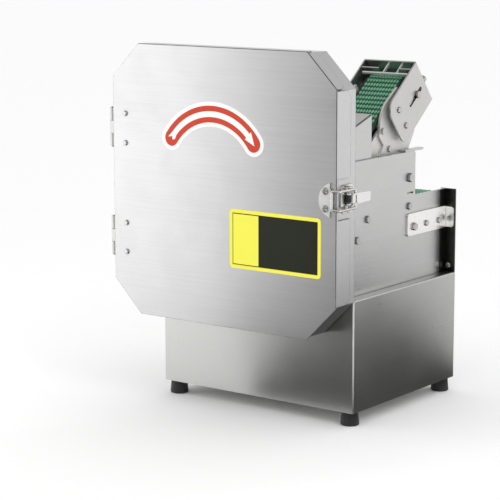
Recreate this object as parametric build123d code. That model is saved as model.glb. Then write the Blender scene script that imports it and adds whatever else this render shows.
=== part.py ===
# Belt-fed vegetable dicer. +Z up, -Y towards the door, +X to the side that carries the feed channel.
# Origin: on the floor, under the centre of the base cabinet. Millimetres.
from build123d import *
import os
from math import cos, sin, radians, degrees, atan2, hypot

# Base cabinet and feet
baseWidth, baseDepth, baseHeight = 299, 242, 142
footHeight, footDiameter, footInset = 18, 24, 13.5
sheet = 1.5            # folded stainless sheet
bendRadius = 2         # outside a fold in that sheet
floorSheet = 2

# Cutter housing and its door
doorWidth, doorHeight, cornerCut = 348, 350, 43
doorBottom = 114       # height of the door's lower edge above the floor
doorOffset = -22       # the door's centre, sideways from the base's centre
housingDepth = 39      # from the housing's front rim to the face of the base
rimGap = 2.5           # between the door sheet and the housing's front rim
flangeGap = 0.5        # between a door flange and the housing wall
topFlange, sideFlange = 20, 30
flangeRound = 12
doorBend = 1           # outside the folds between the door and its flanges

# Hinges and latch
hingeLength, knuckleRadius, pinRadius, leafSheet = 50, 3.5, 1.5, 2
hingeSpacing = 142     # between the hinges' centres
hingeLift = -5.5       # of the hinge pair's middle from the door's middle
leafReach = 31
nutThick = 2.6
runningGap = 0.05      # radial, for a shaft in its bore
sideGap = 0.3          # between pieces that move past each other

# Feed channel
panelSheet = 3
channelInset = 15.5    # from the housing's right wall to the outer face of the channel's right panel
channelWidth = 75      # between the two side panels
infeedBeltTop = 268    # height of the belt's top run above the floor
panelRise, panelRearRise = 59.5, 2.5   # of the panels' tops over the belt
panelStep, panelRear = 162, 237.5      # measured back from the base's front
beltSheet, rollerRadius = 3, 18
beltSideGap = 4.5      # from the belt's edges to the panels
mouthHeight = 82
gridPitch, gridBlade = 10, 1

# Press conveyor
pressAngle = 39
pressRollerRadius, pressBeltSheet = 18, 3.5
linkSheet, frameSheet = 3, 2
frameInset = {1: 2.5, -1: -0.5}        # from each panel's outer face in to the frame's outer face
linkInset = {1: 11, -1: 5}             # and to the link plate's
tensionSlotWidth = 5.5

# Cutter
tipClearance = 5.5     # from the blades' tips to the housing's walls
hubRadius, bladeCount, bladeSheet = 46, 3, 3
spindleRadius = 12.5
spindlePulleyRadius, motorPulleyRadius = 55, 30

# Places that follow from the sizes above
doorFace = -baseDepth / 2 - housingDepth - rimGap - sheet
doorRear = doorFace + sheet
rimFront = doorRear + rimGap
baseFront, baseRear = -baseDepth / 2, baseDepth / 2
baseRight, baseLeft = baseWidth / 2, -baseWidth / 2
baseTop = footHeight + baseHeight
doorTop = doorBottom + doorHeight
doorMid = doorBottom + doorHeight / 2
doorMidX = doorOffset
doorLeft, doorRight = doorOffset - doorWidth / 2, doorOffset + doorWidth / 2
housingRight = doorRight - sheet - flangeGap
housingLeft = housingRight - doorWidth
housingTop = doorTop - sheet - flangeGap
housingBottom = doorBottom + sheet + flangeGap
axisX, axisZ = (housingLeft + housingRight) / 2, (housingTop + housingBottom) / 2
cutterRadius = min(housingRight - housingLeft, housingTop - housingBottom) / 2 - sheet - tipClearance
panelRightOuter = housingRight - channelInset
panelRightInner = panelRightOuter - panelSheet
panelLeftInner = panelRightInner - channelWidth
panelLeftOuter = panelLeftInner - panelSheet
channelMid = (panelRightInner + panelLeftInner) / 2
stepY, panelRearY = baseFront + panelStep, baseFront + panelRear
panelTop, panelRearTop = infeedBeltTop + panelRise, infeedBeltTop + panelRearRise
infeedBeltWidth = channelWidth - 2 * beltSideGap
infeedAxisZ = infeedBeltTop - beltSheet - rollerRadius
infeedFrontY = baseFront + rollerRadius + beltSheet + 5
infeedRearY = panelRearY - rollerRadius - beltSheet - 1

os.makedirs("parts", exist_ok=True)
nodes = {}


def save(node, *shapes):
    # every piece of a node stays a solid of its own
    solids = [solid for shape in shapes for solid in shape.solids()]
    nodes[node] = solids
    export_step(Compound(children=solids), f"parts/{node}.step")


def block(x0, x1, y0, y1, z0, z1):
    return Pos((x0 + x1) / 2, (y0 + y1) / 2, (z0 + z1) / 2) * Box(x1 - x0, y1 - y0, z1 - z0)


def rod(start, direction, radius, length):
    fromStart = (Align.CENTER, Align.CENTER, Align.MIN)
    return Plane(origin=start, z_dir=direction) * Cylinder(radius, length, align=fromStart)


def sideSheet(sketch, x, thickness):
    # a sketch in (y, z), extruded towards +X from x
    return extrude(Plane.YZ.offset(x) * sketch, amount=thickness)


def frontSheet(sketch, y, thickness):
    # a sketch in (x, z), extruded towards +Y from y
    return extrude(Plane.XZ.offset(-y) * sketch, amount=-thickness)


def octagon(left, right, bottom, top, cut):
    return Polygon((left + cut, bottom), (right - cut, bottom), (right, bottom + cut), (right, top - cut),
                   (right - cut, top), (left + cut, top), (left, top - cut), (left, bottom + cut), align=None)


def outline(points, radius=0, corners=None):
    # closed polygon with its named corners, or all of them, rounded
    face = Polygon(*points, align=None)
    if radius:
        picked = face.vertices() if corners is None else [face.vertices().sort_by_distance((*points[i], 0))[0]
                                                          for i in corners]
        face = fillet(picked, radius)
    return face


def panHead(place, outward, radius, shank, depth):
    # domed screw head on a face, with its shank going in
    back = tuple(-c for c in outward)
    dome = rod(place, outward, radius, radius * 0.55)
    crown = tuple(p + c * radius for p, c in zip(place, outward))
    dome = fillet(dome.edges().sort_by_distance(crown)[0], radius * 0.45)
    return dome + rod(place, back, shank, depth)


def hexHead(place, outward, flats, height, shank, depth):
    back = tuple(-c for c in outward)
    hexagon = RegularPolygon(flats / 2, 6, major_radius=False)
    head = extrude(Plane(origin=place, z_dir=outward) * hexagon, height)
    return head + rod(place, back, shank, depth)


def hexNut(place, outward, flats, height, bore):
    hexagon = RegularPolygon(flats / 2, 6, major_radius=False)
    nut = extrude(Plane(origin=place, z_dir=outward) * hexagon, height)
    return nut - rod(place, outward, bore, height)


def drilled(shape, places, direction, radius, depth):
    # holes centred on each place, through depth to both sides
    for place in places:
        start = tuple(p - c * depth for p, c in zip(place, direction))
        shape -= rod(start, direction, radius, 2 * depth)
    return shape


# ---- Base cabinet: a folded shell over a floor plate, on four rubber feet ----
def baseCabinet():
    shell = block(baseLeft, baseRight, baseFront, baseRear, footHeight, baseTop)
    folds = shell.edges().filter_by(Axis.Z) + shell.edges().group_by(Axis.Z)[-1]
    shell = fillet(folds, bendRadius)
    shell -= block(baseLeft + sheet, baseRight - sheet, baseFront + sheet, baseRear - sheet,
                   footHeight, baseTop - sheet)
    reach = spindlePulleyRadius + 8
    shell -= block(axisX - reach, axisX + reach, beltPlaneY - 14, beltPlaneY + 14, baseTop - sheet, baseTop)
    for slot in ventSlots(baseLeft, baseLeft + sheet):
        shell -= slot
    return drilled(shell, [glandPlace], (0, 1, 0), 8, 6)


def ventSlots(x0, x1):
    slots = []
    for row in range(6):
        z = footHeight + 45 + row * 12
        slots.append(block(x0, x1, -10, 50, z, z + 4))
    return slots


footPlaces = [(sx * (baseWidth / 2 - footInset), sy * (baseDepth / 2 - footInset))
              for sx in (-1, 1) for sy in (-1, 1)]


def foot(x, y):
    body = Pos(x, y, 0) * Cone(footDiameter / 2, footDiameter / 2 - 1.5, footHeight,
                               align=(Align.CENTER, Align.CENTER, Align.MIN))
    recess = rod((x, y, 0), (0, 0, 1), 6, footHeight - 8)
    body = fillet(body.edges().filter_by(GeomType.CIRCLE).sort_by(Axis.Z)[0], 2)
    return body - recess - rod((x, y, 0), (0, 0, 1), 2.6, footHeight)


def footScrew(x, y):
    seat = footHeight - 8
    return (rod((x, y, seat - 3), (0, 0, 1), 5, 3) + rod((x, y, seat), (0, 0, 1), 2.5, 8 + floorSheet + 5))


glandPlace = (baseLeft + 40, baseRear, footHeight + 40)
spindleHousingLength = 52
beltPlaneY = baseFront + spindleHousingLength + 16
motorHeight, motorShaftRadius, motorFootSheet = 62, 9, 8
motorX, motorZ = axisX, footHeight + floorSheet + motorHeight
motorRadius, motorFront, motorBack = 54, beltPlaneY + 14, baseRear - 42
motorFeetY = (motorFront + 30, motorBack - 50)
motorBoltPlaces = [(motorX + s * 40, y, footHeight + floorSheet) for s in (-1, 1) for y in motorFeetY]


def motorBolt(x, y, z):
    # through a foot of the motor and the base's floor, with its nut below
    bolt = hexHead((x, y, z + motorFootSheet), (0, 0, 1), 10, 4, 3, motorFootSheet + floorSheet + nutThick)
    return [bolt, hexNut((x, y, footHeight), (0, 0, -1), 10, nutThick, 3)]


floorPlate = block(baseLeft + sheet, baseRight - sheet, baseFront + sheet, baseRear - sheet,
                   footHeight, footHeight + floorSheet)
floorPlate = drilled(floorPlate, [(x, y, footHeight) for x, y in footPlaces], (0, 0, 1), 2.6, 10)
floorPlate = drilled(floorPlate, motorBoltPlaces, (0, 0, 1), 3.05, 10)
save("base_cabinet", baseCabinet())
save("base_floor", floorPlate)
save("rubber_feet", *[foot(x, y) for x, y in footPlaces])
motorFasteners = [piece for place in motorBoltPlaces for piece in motorBolt(*place)]
save("feet_screws", *[footScrew(x, y) for x, y in footPlaces], *motorFasteners)


# ---- Cutter housing: an octagonal pan, open at the bottom for the discharge ----
gridFlange, gridWall = 6, 2
mouthWidth = channelWidth - 2 * (sheet + gridWall)       # the grid's frame fills the hood
mouthLeft, mouthRight = channelMid - mouthWidth / 2, channelMid + mouthWidth / 2
mouthBottom, mouthTop = infeedBeltTop, infeedBeltTop + mouthHeight
spindleFlangeRadius, spindleTubeRadius = 42, 31


def cutterHousing():
    outer = octagon(housingLeft, housingRight, housingBottom, housingTop, cornerCut)
    inner = offset(outer, -sheet)
    ring = frontSheet(outer - inner, rimFront, housingDepth)
    opening = block(housingLeft + cornerCut, housingRight - cornerCut, rimFront, baseFront - sheet,
                    housingBottom - 1, housingBottom + sheet + 0.1)
    back = frontSheet(outer, baseFront - sheet, sheet)
    shell = ring - opening + back
    shell -= block(mouthLeft - gridWall, mouthRight + gridWall, baseFront - 5, baseFront + 5,
                   mouthBottom - gridWall, mouthTop + gridWall)
    shell -= rod((axisX, baseFront - 10, axisZ), (0, 1, 0), spindleTubeRadius + 0.2, 20)
    return drilled(shell, spindleScrewPlaces, (0, 1, 0), 3.1, 10)


spindleScrewPlaces = [(axisX + 37 * cos(radians(a)), baseFront - sheet, axisZ + 37 * sin(radians(a)))
                      for a in (45, 135, 225, 315)]


def dicingGrid():
    # a frame that fills the mouth, with crossed blades on edge
    flange = block(mouthLeft - gridFlange, mouthRight + gridFlange, baseFront - sheet - 1.5, baseFront - sheet,
                   mouthBottom - gridFlange, mouthTop + gridFlange)
    body = block(mouthLeft - gridWall, mouthRight + gridWall, baseFront - sheet, baseFront + 6,
                 mouthBottom - gridWall, mouthTop + gridWall)
    frame = fillet(flange.edges().filter_by(Axis.Y), 4) + body
    frame -= block(mouthLeft, mouthRight, baseFront - 10, baseFront + 10, mouthBottom, mouthTop)
    across = int(mouthWidth / gridPitch)
    for k in range(1, across):
        x = mouthLeft + k * mouthWidth / across
        frame += block(x - gridBlade / 2, x + gridBlade / 2, baseFront - sheet, baseFront + 5,
                       mouthBottom, mouthTop)
    up = int(mouthHeight / gridPitch)
    for k in range(1, up):
        z = mouthBottom + k * mouthHeight / up
        frame += block(mouthLeft, mouthRight, baseFront - sheet, baseFront + 5,
                       z - gridBlade / 2, z + gridBlade / 2)
    return frame


save("dicing_grid", dicingGrid())


# ---- Door: a flat octagon with separate folded flanges on the top, the upper right and the right ----
def flange(ax, az, bx, bz, depth):
    # a strip folded back from the edge a-b, inside the door's outline
    length = hypot(bx - ax, bz - az)
    along = ((bx - ax) / length, 0, (bz - az) / length)
    strip = Polygon((0, 0), (length, 0), (length, depth - sheet), (0, depth - sheet), align=None)
    rounded = [v for v in strip.vertices() if v.Y > 1]
    strip = fillet(rounded, min(flangeRound, depth - sheet - 2))
    inward = Vector(-along[2], 0, along[0]) * -1
    plane = Plane(origin=(ax, doorRear, az), x_dir=along, z_dir=inward)
    if plane.y_dir.Y < 0:
        plane = Plane(origin=(ax, doorRear, az), x_dir=along, z_dir=inward * -1)
        return extrude(plane * strip, amount=-sheet)
    return extrude(plane * strip, amount=sheet)


latchNotchHeight = 50


def doorPanel():
    face = frontSheet(octagon(doorLeft, doorRight, doorBottom, doorTop, cornerCut), doorFace, sheet)
    half = cornerCut / 2
    folds = [(doorMidX, doorFace, doorTop), (doorRight - half, doorFace, doorTop - half),
             (doorRight, doorFace, doorMid)]
    face = fillet([face.edges().sort_by_distance(place)[0] for place in folds], doorBend)
    slant = 1.5 * sheet     # keeps neighbouring flanges clear of each other at the folds
    top = flange(doorLeft + cornerCut + slant, doorTop, doorRight - cornerCut - slant, doorTop, topFlange)
    side = flange(doorRight, doorTop - cornerCut - slant, doorRight, doorBottom + cornerCut + slant, sideFlange)
    d = slant / 2 ** 0.5
    corner = flange(doorRight - cornerCut + d, doorTop - d, doorRight, doorTop - cornerCut, topFlange)
    side -= block(doorRight - 5, doorRight + 5, doorRear + 2, doorRear + sideFlange + 5,
                  doorMid - latchNotchHeight / 2, doorMid + latchNotchHeight / 2)
    return face + top + corner + side


hingeX, hingeY = housingLeft - knuckleRadius, doorRear + knuckleRadius
hingeMids = [doorMid + hingeLift + s * hingeSpacing / 2 for s in (-1, 1)]
doorBoltX = doorLeft + 20
doorBoltPlaces = [(doorBoltX, doorFace, z + s * 19) for z in hingeMids for s in (-1, 1)]
fixedBoltY = hingeY + 20
fixedBoltPlaces = [(housingLeft - leafSheet, fixedBoltY, z + s * 15) for z in hingeMids for s in (-1, 1)]
knuckle = hingeLength / 3


def doorLeaf(mid):
    # a leaf behind the door sheet, with the middle knuckle
    leaf = block(hingeX, hingeX + leafReach, doorRear, doorRear + leafSheet,
                 mid - hingeLength / 2, mid + hingeLength / 2)
    rollHalf = knuckle / 2 - sideGap / 2
    for z0, z1 in ((mid + rollHalf, mid + hingeLength), (mid - hingeLength, mid - rollHalf)):
        leaf -= block(hingeX - 5, hingeX + knuckleRadius + sideGap, doorRear - 1, doorRear + 5, z0, z1)
    roll = rod((hingeX, hingeY, mid - knuckle / 2 + sideGap / 2), (0, 0, 1), knuckleRadius, knuckle - sideGap)
    bore = rod((hingeX, hingeY, mid - hingeLength), (0, 0, 1), pinRadius + runningGap, 2 * hingeLength)
    return drilled(leaf + roll - bore, doorBoltPlaces, (0, 1, 0), 2.1, 10)


def fixedLeaf(mid):
    # a leaf on the housing's left wall, with the two outer knuckles
    leaf = block(housingLeft - leafSheet, housingLeft, hingeY, hingeY + leafReach - 3,
                 mid - hingeLength / 2, mid + hingeLength / 2)
    leaf -= block(housingLeft - 5, housingLeft + 1, hingeY - 1, hingeY + knuckleRadius + sideGap,
                  mid - knuckle / 2 - sideGap / 2, mid + knuckle / 2 + sideGap / 2)
    for z0 in (mid - hingeLength / 2, mid + knuckle / 2 + sideGap / 2):
        leaf += rod((hingeX, hingeY, z0), (0, 0, 1), knuckleRadius, knuckle - sideGap / 2)
    bore = rod((hingeX, hingeY, mid - hingeLength), (0, 0, 1), pinRadius, 2 * hingeLength)
    return drilled(leaf - bore, fixedBoltPlaces, (1, 0, 0), 2.1, 10)


def hingePin(mid):
    reach = hingeLength / 2
    return (rod((hingeX, hingeY, mid - reach), (0, 0, 1), pinRadius, hingeLength)
            + rod((hingeX, hingeY, mid + reach), (0, 0, 1), 2.4, 1.2)
            + rod((hingeX, hingeY, mid - reach - 1.2), (0, 0, 1), 2.4, 1.2))


save("hinge_leaves_fixed", *[fixedLeaf(mid) for mid in hingeMids])
save("hinge_leaves_door", *[doorLeaf(mid) for mid in hingeMids])
bolts, nuts = [], []
for place in doorBoltPlaces:
    bolts.append(panHead(place, (0, -1, 0), 3.6, 2, sheet + leafSheet + 4.2))
    nuts.append(hexNut((place[0], doorRear + leafSheet, place[2]), (0, 1, 0), 7, 3.2, 2))
doorFasteners = bolts + nuts
bolts, nuts = [], []
for place in fixedBoltPlaces:
    bolts.append(panHead(place, (-1, 0, 0), 3.6, 2, sheet + leafSheet + 3.4))
    nuts.append(hexNut((housingLeft + sheet, place[1], place[2]), (1, 0, 0), 7, 3.2, 2))
housingFasteners = bolts + nuts

# ---- Latch: a toggle on the housing's side, whose bail reaches round the door's edge to a keeper ----
wallX = housingRight
latchPivot = (wallX + 5.5, doorFace + 22)
bailPivot = (wallX + 9.2, doorFace + 30)
bailWire, bailHalf, earHalf, cheekHalf = 1.5, 11.5, 14.2, 6.25
latchSheet, cheekRound = 1.5, 3.2
keeperSheet, keeperHeight = 1.5, 42


def keeper():
    # a half-round plate on the door's face, with a low ridge that holds the bail's bar
    x1, x0 = doorRight - 8.5, doorRight - 25
    low, high = (x1, doorMid - keeperHeight / 2), (x1, doorMid + keeperHeight / 2)
    plate = make_face(Line(low, high) + ThreePointArc(high, (x0, doorMid), low))
    plate = frontSheet(plate, doorFace - keeperSheet, keeperSheet)
    ridge = block(x1, x1 + latchSheet, doorFace - keeperSheet - 1, doorFace, doorMid - 14, doorMid + 14)
    return drilled(plate + ridge, keeperScrewPlaces, (0, 1, 0), 2.1, 10)


keeperScrewPlaces = [(doorRight - 15.5, doorFace - keeperSheet, doorMid + s * 10.6) for s in (-1, 1)]


def atHeight(sketch, z, thickness):
    return extrude(Plane.XY.offset(z - thickness / 2) * sketch, amount=thickness)


def latchBase():
    # a plate with two ears that carry the pin
    y0, y1 = doorFace + 10, doorFace + 38
    plate = outline([(y0, doorMid - 17), (y1, doorMid - 17), (y1, doorMid + 17), (y0, doorMid + 17)], 8)
    base = sideSheet(plate, wallX, leafSheet)
    px, py = latchPivot
    ear = Pos(px, py) * Circle(cheekRound) + Polygon((wallX, py - 5), (px, py - cheekRound), (px, py + cheekRound),
                                                     (wallX, py + 5), align=None)
    for s in (-1, 1):
        base += atHeight(ear, doorMid + s * earHalf, latchSheet)
    base -= rod((px, py, doorMid - 30), (0, 0, 1), pinRadius, 60)
    return drilled(base, latchRivetPlaces, (1, 0, 0), 1.9, 10)


latchRivetPlaces = [(wallX + leafSheet, doorFace + 32, doorMid + s * 11) for s in (-1, 1)]


def latchLever():
    # a flat handle on two cheeks; it lies back along the wall when closed
    px, py = latchPivot
    bx, by = bailPivot
    flatX, end = bx + 1.2, doorFace + 62
    flat = [(py + 0.5, doorMid - 7), (py + 0.5, doorMid + 7), (end, doorMid + 6), (end, doorMid - 6)]
    flat = outline(flat, 3, (2, 3))
    lever = sideSheet(flat, flatX, latchSheet)
    cheek = (Pos(px, py) * Circle(cheekRound)
             + Polygon((px - 2, py + 2.5), (px, py), (flatX + 1, py + 0.5), (flatX + 1, by + 5), (bx - 2, by + 3),
                       align=None))
    for s in (-1, 1):
        lever += atHeight(cheek, doorMid + s * cheekHalf, latchSheet)
    for x, y in (latchPivot, bailPivot):
        lever -= rod((x, y, doorMid - 20), (0, 0, 1), pinRadius + runningGap, 40)
    return lever


def latchPin():
    px, py = latchPivot
    reach = earHalf + latchSheet / 2
    return (rod((px, py, doorMid - reach), (0, 0, 1), pinRadius, 2 * reach)
            + rod((px, py, doorMid + reach), (0, 0, 1), 2.4, 1)
            + rod((px, py, doorMid - reach - 1), (0, 0, 1), 2.4, 1))


def latchSpring():
    # turns of a torsion spring round the pin, between the cheeks
    px, py = latchPivot
    wire, turns = 0.6, 7
    return [Pos(px, py, doorMid + (k - (turns - 1) / 2) * 2 * wire) * Torus(pinRadius + 0.2 + wire, wire)
            for k in range(turns)]


def latchBail():
    # a wire loop: two legs from the pivot past the door's edge, and a bar across the keeper
    barX, barY = doorRight - 4.5, doorFace - keeperSheet - 0.4 - bailWire
    bx, by = bailPivot
    end = cheekHalf - 2
    corners = [(bx, by, doorMid - end), (bx, by, doorMid - bailHalf), (bx, barY, doorMid - bailHalf),
               (barX, barY, doorMid - bailHalf), (barX, barY, doorMid + bailHalf),
               (bx, barY, doorMid + bailHalf), (bx, by, doorMid + bailHalf), (bx, by, doorMid + end)]
    wire = FilletPolyline(*corners, radius=2.2)
    return sweep(Plane(origin=corners[0], z_dir=(0, 0, -1)) * Circle(bailWire), path=wire)


door = drilled(doorPanel(), doorBoltPlaces + keeperScrewPlaces, (0, 1, 0), 2.1, 10)
save("door_panel", door)
save("latch_keeper", keeper())
doorFasteners += [panHead(place, (0, -1, 0), 4.2, 2.05, keeperSheet + sheet + 1) for place in keeperScrewPlaces]
save("door_screws", *doorFasteners)
save("latch_base", latchBase())
housingFasteners += [panHead(place, (1, 0, 0), 3, 1.85, leafSheet + sheet + 1) for place in latchRivetPlaces]
save("hinge_and_latch_pins", *[hingePin(mid) for mid in hingeMids], latchPin())
save("latch_spring", *latchSpring())
save("latch_lever", latchLever())
save("latch_bail", latchBail())
housing = drilled(cutterHousing(), fixedBoltPlaces + latchRivetPlaces, (1, 0, 0), 2.05, 8)
save("cutter_housing", housing)


# ---- Feed channel: two side panels, the infeed conveyor between them and the hood over its throat ----
panelRound = 4


def sidePanel(x):
    # high beside the hood, stepped down behind the press arm
    points = [(baseFront, baseTop), (panelRearY, baseTop), (panelRearY, panelRearTop), (stepY, panelRearTop),
              (stepY, panelTop), (baseFront, panelTop)]
    return sideSheet(outline(points, panelRound, (2, 3, 4)), x, panelSheet)


def turned(y, z, along, across):
    # a place in the press unit's own directions: along its belt and across it, from its tail axis
    a = radians(pressAngle)
    return (y + along * cos(a) + across * sin(a), z + along * sin(a) - across * cos(a))


pivotY, pivotZ = baseFront + 148.4, infeedBeltTop + 26.5
bracketLow, bracketHeight = infeedBeltTop - 49, 29
pivotRadius = 5
bedSheet = 2
bedBoltPlaces = [(baseFront + 51.4, infeedBeltTop - 15), (baseFront + 147.9, infeedBeltTop - 10.2)]
panelBoltPlaces = bedBoltPlaces + [(baseFront + 28.1, infeedBeltTop - 38.4)]
bracketHoles = [(panelRearY - back, bracketLow + up, size) for back, up, size in
                ((80.7, 11.5, 4), (50.7, 12.2, 3), (20, 11.9, 3))]
shaftRadius = 6
bearingFlange, bearingDepth, bearingBoltSpan = 4, 9, 17
infeedAxes = [(infeedFrontY, infeedAxisZ), (infeedRearY, infeedAxisZ)]


def yz(x, places):
    return [(x, place[0], place[1]) for place in places]


def channelPanel(side):
    x = panelRightInner if side == "right" else panelLeftInner - panelSheet
    panel = sidePanel(x)
    panel = drilled(panel, yz(x, [(pivotY, pivotZ)]), (1, 0, 0), pivotRadius, 20)
    if side == "left":
        panel = drilled(panel, yz(x, infeedAxes), (1, 0, 0), shaftRadius + 3, 20)
        panel = drilled(panel, yz(x, [(y, z + s * bearingBoltSpan) for y, z in infeedAxes for s in (-1, 1)]),
                        (1, 0, 0), 2.05, 20)
    if side == "right":
        panel = drilled(panel, yz(x, panelBoltPlaces), (1, 0, 0), 2.55, 10)
        panel = drilled(panel, yz(x, bracketHoles), (1, 0, 0), 2.05, 10)
        slot = sideSheet(Pos(baseFront + 150.3, infeedBeltTop + 6.6) * SlotOverall(14, 2.4), x - 1, panelSheet + 2)
        panel -= slot
    return panel


def conveyorBed():
    # a tray under the belt's top run, with its edges folded down onto the panels
    y0, y1 = infeedFrontY + rollerRadius - 2, infeedRearY - rollerRadius + 2
    z1 = infeedBeltTop - beltSheet - 0.3
    tray = block(panelLeftInner, panelRightInner, y0, y1, z1 - 14, z1)
    tray -= block(panelLeftInner + bedSheet, panelRightInner - bedSheet, y0 - 1, y1 + 1, z1 - 15, z1 - bedSheet)
    return drilled(tray, yz(panelRightInner, bedBoltPlaces), (1, 0, 0), 2.55, 6)


def beltLoop(y0, z0, y1, z1, radius, thickness, x0, x1):
    # a closed belt round two equal rollers
    tilt = degrees(atan2(z1 - z0, y1 - y0))
    span = hypot(y1 - y0, z1 - z0)
    centre = Pos((y0 + y1) / 2, (z0 + z1) / 2) * Rot(0, 0, tilt)
    band = SlotCenterToCenter(span, 2 * (radius + thickness)) - SlotCenterToCenter(span, 2 * (radius + sideGap))
    return sideSheet(centre * band, x0, x1 - x0)


beltX0, beltX1 = channelMid - infeedBeltWidth / 2, channelMid + infeedBeltWidth / 2
save("conveyor_bed", conveyorBed())
save("infeed_belt", beltLoop(*infeedAxes[0], *infeedAxes[1], rollerRadius, beltSheet, beltX0, beltX1))


def throatHood():
    # a folded cover over the throat, inside the two panels, open to the mouth, the rear and the belt
    y0, y1 = baseFront, baseFront + 63.5
    z0, front, rear = panelTop - 22, panelTop + 33.5, panelTop + 54.5
    side = outline([(y0, z0), (y1, z0), (y1, rear), (y0, front)])
    cover = sideSheet(side, panelLeftInner, channelWidth)
    folds = [(x, (y0 + y1) / 2, (front + rear) / 2) for x in (panelLeftInner, panelRightInner)]
    cover = fillet([cover.edges().sort_by_distance(place)[0] for place in folds], bendRadius)
    inside = outline([(y0 - 1, z0 - 1), (y1 + 1, z0 - 1), (y1 + 1, rear - sheet), (y0 - 1, front - sheet)])
    hollow = sideSheet(inside, panelLeftInner + sheet, channelWidth - 2 * sheet)
    lip = block(panelLeftInner + bendRadius, panelRightInner - bendRadius, y1, y1 + 3, rear - sheet, rear)
    return cover - hollow + lip


save("throat_hood", throatHood())
rearSheet, returnSheet, returnDepth, bracketSheet = 2.5, 1.2, 13, 2.5


def rearPlate():
    # a dark plate behind the channel, returned round the panel's edge above and below the bracket
    plate = block(panelRightInner - 4, baseRight, panelRearY, panelRearY + rearSheet, baseTop, panelRearTop)
    for z0, z1 in ((baseTop, bracketLow - 0.5), (bracketLow + bracketHeight + 0.5, panelRearTop)):
        plate += block(panelRightOuter, panelRightOuter + returnSheet,
                       panelRearY - returnDepth, panelRearY + 1, z0, z1)
    return drilled(plate, rearBolts, (0, 1, 0), 2.05, 10)


rearBolts = [(panelRightOuter + 9, panelRearY, bracketLow + bracketHeight / 2 - 2),
             (panelRightOuter + 7, panelRearY, baseTop + 9)]
save("rear_plate", rearPlate())


def cornerBracket():
    # an angle of polished strip, from the side panel round to the rear plate
    y0, height, low = panelRearY - 95.9, bracketHeight, bracketLow
    side = outline([(y0, low), (panelRearY, low), (panelRearY, low + height), (y0, low + height)], 4, (0, 3))
    bracket = sideSheet(side, panelRightOuter, bracketSheet)
    foot = frontSheet(outline([(panelRightOuter, low + 1), (baseRight - 1, low + 1), (baseRight - 1, low + height - 1),
                               (panelRightOuter, low + height - 1)], 3, (1, 2)), panelRearY - bracketSheet, bracketSheet)
    bracket += foot
    bracket = drilled(bracket, yz(panelRightOuter, bracketHoles), (1, 0, 0), 2.05, 10)
    return drilled(bracket, rearBolts[:1], (0, 1, 0), 2.05, 10)


save("corner_bracket", cornerBracket())
bolts = []
for y, z, r in bracketHoles:
    bolts.append(hexHead((panelRightOuter + bracketSheet, y, z), (1, 0, 0), 2.2 * r, r * 0.8, 2,
                         bracketSheet + panelSheet + nutThick))
    bolts.append(hexNut((panelRightInner, y, z), (-1, 0, 0), 7, nutThick, 2))
for place in panelBoltPlaces:
    seat = panelRightInner - (bedSheet if place in bedBoltPlaces else 0)
    bolts.append(hexHead((panelRightOuter, *place), (1, 0, 0), 8, 3, 2.5, panelRightOuter - seat + nutThick))
    bolts.append(hexNut((seat, *place), (-1, 0, 0), 8, nutThick, 2.5))
for (x, y, z), sheetBehind in zip(rearBolts, (bracketSheet, 0)):
    bolts.append(hexHead((x, y - sheetBehind, z), (0, -1, 0), 7, 2.6, 2, sheetBehind + rearSheet + nutThick))
    bolts.append(hexNut((x, y + rearSheet, z), (0, 1, 0), 7, nutThick, 2))
for y, z in infeedAxes:
    for s in (-1, 1):
        place = (panelLeftOuter - bearingFlange, y, z + s * bearingBoltSpan)
        bolts.append(panHead(place, (-1, 0, 0), 3.6, 2, bearingFlange + panelSheet))
save("channel_bolts", *bolts)
stopStrip = outline([(stepY - 24, 0), (stepY + 22, 0), (stepY + 22, 10), (stepY - 24, 10)], 4.5, (1, 2))
save("stop_strip", extrude(Plane(origin=(panelRightOuter, 0, panelTop), x_dir=(0, 1, 0), z_dir=(0, 0, 1)) * stopStrip,
                           amount=2.5))
save("panel_right", channelPanel("right"))
save("panel_left", channelPanel("left"))


# ---- Press arm: link plates, a side bar and a tension frame that carry the press belt ----
tailY, tailZ = pivotY + 19.2, pivotZ + 104.3
noseReach = 161.6        # from the tail roller's axis to the nose roller's, along the belt
noseY, noseZ = turned(tailY, tailZ, -noseReach, 0)
axleRadius, sunkRadius, sunkDepth = 6, 4.5, 1.5
frameRight, linkRight = panelRightOuter - frameInset[1], panelRightOuter - linkInset[1]
frameLeft, linkLeft = panelLeftOuter + frameInset[-1], panelLeftOuter + linkInset[-1]
linkX = {1: linkRight - linkSheet, -1: linkLeft}                 # where each link plate's sheet starts
linkInner = {1: linkRight - linkSheet, -1: linkLeft + linkSheet}
linkOuter = {1: linkRight, -1: linkLeft}
frameOuter = {1: frameRight, -1: frameLeft}
frameInner = {1: frameRight - frameSheet, -1: frameLeft + frameSheet}
barInner = linkInner[1] - linkSheet                              # inner face of the right side bar
pressBeltX0, pressBeltX1 = linkInner[-1] + 0.6, barInner - 0.6
beltRound = pressRollerRadius + pressBeltSheet                   # outer radius of the belt round a roller
frameBack, frameFront = beltRound + 1.1 + frameSheet, -62
frameUp, frameDown = -beltRound - 12.3, beltRound + 8.9
tensionInset = 3.5       # of each tension screw from the frame's inner face
frameScrews = [(-43, -13.6), (-43, 13.4)]
slotSpan = (-22, 13)
linkBolts = [(pivotY - 47.8, pivotZ + 62.9), (pivotY - 32.3, pivotZ + 39.1)]


def pressPlate(sketch, x, thickness):
    # a sketch in (along, across) from the tail axis, with across pointing down and forward
    plane = Plane(origin=(x, tailY, tailZ), x_dir=(0, cos(radians(pressAngle)), sin(radians(pressAngle))),
                  z_dir=(1, 0, 0))
    return extrude(plane * sketch, amount=thickness)


def inFrame(along, across):
    return Pos(along, -across)


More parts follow.
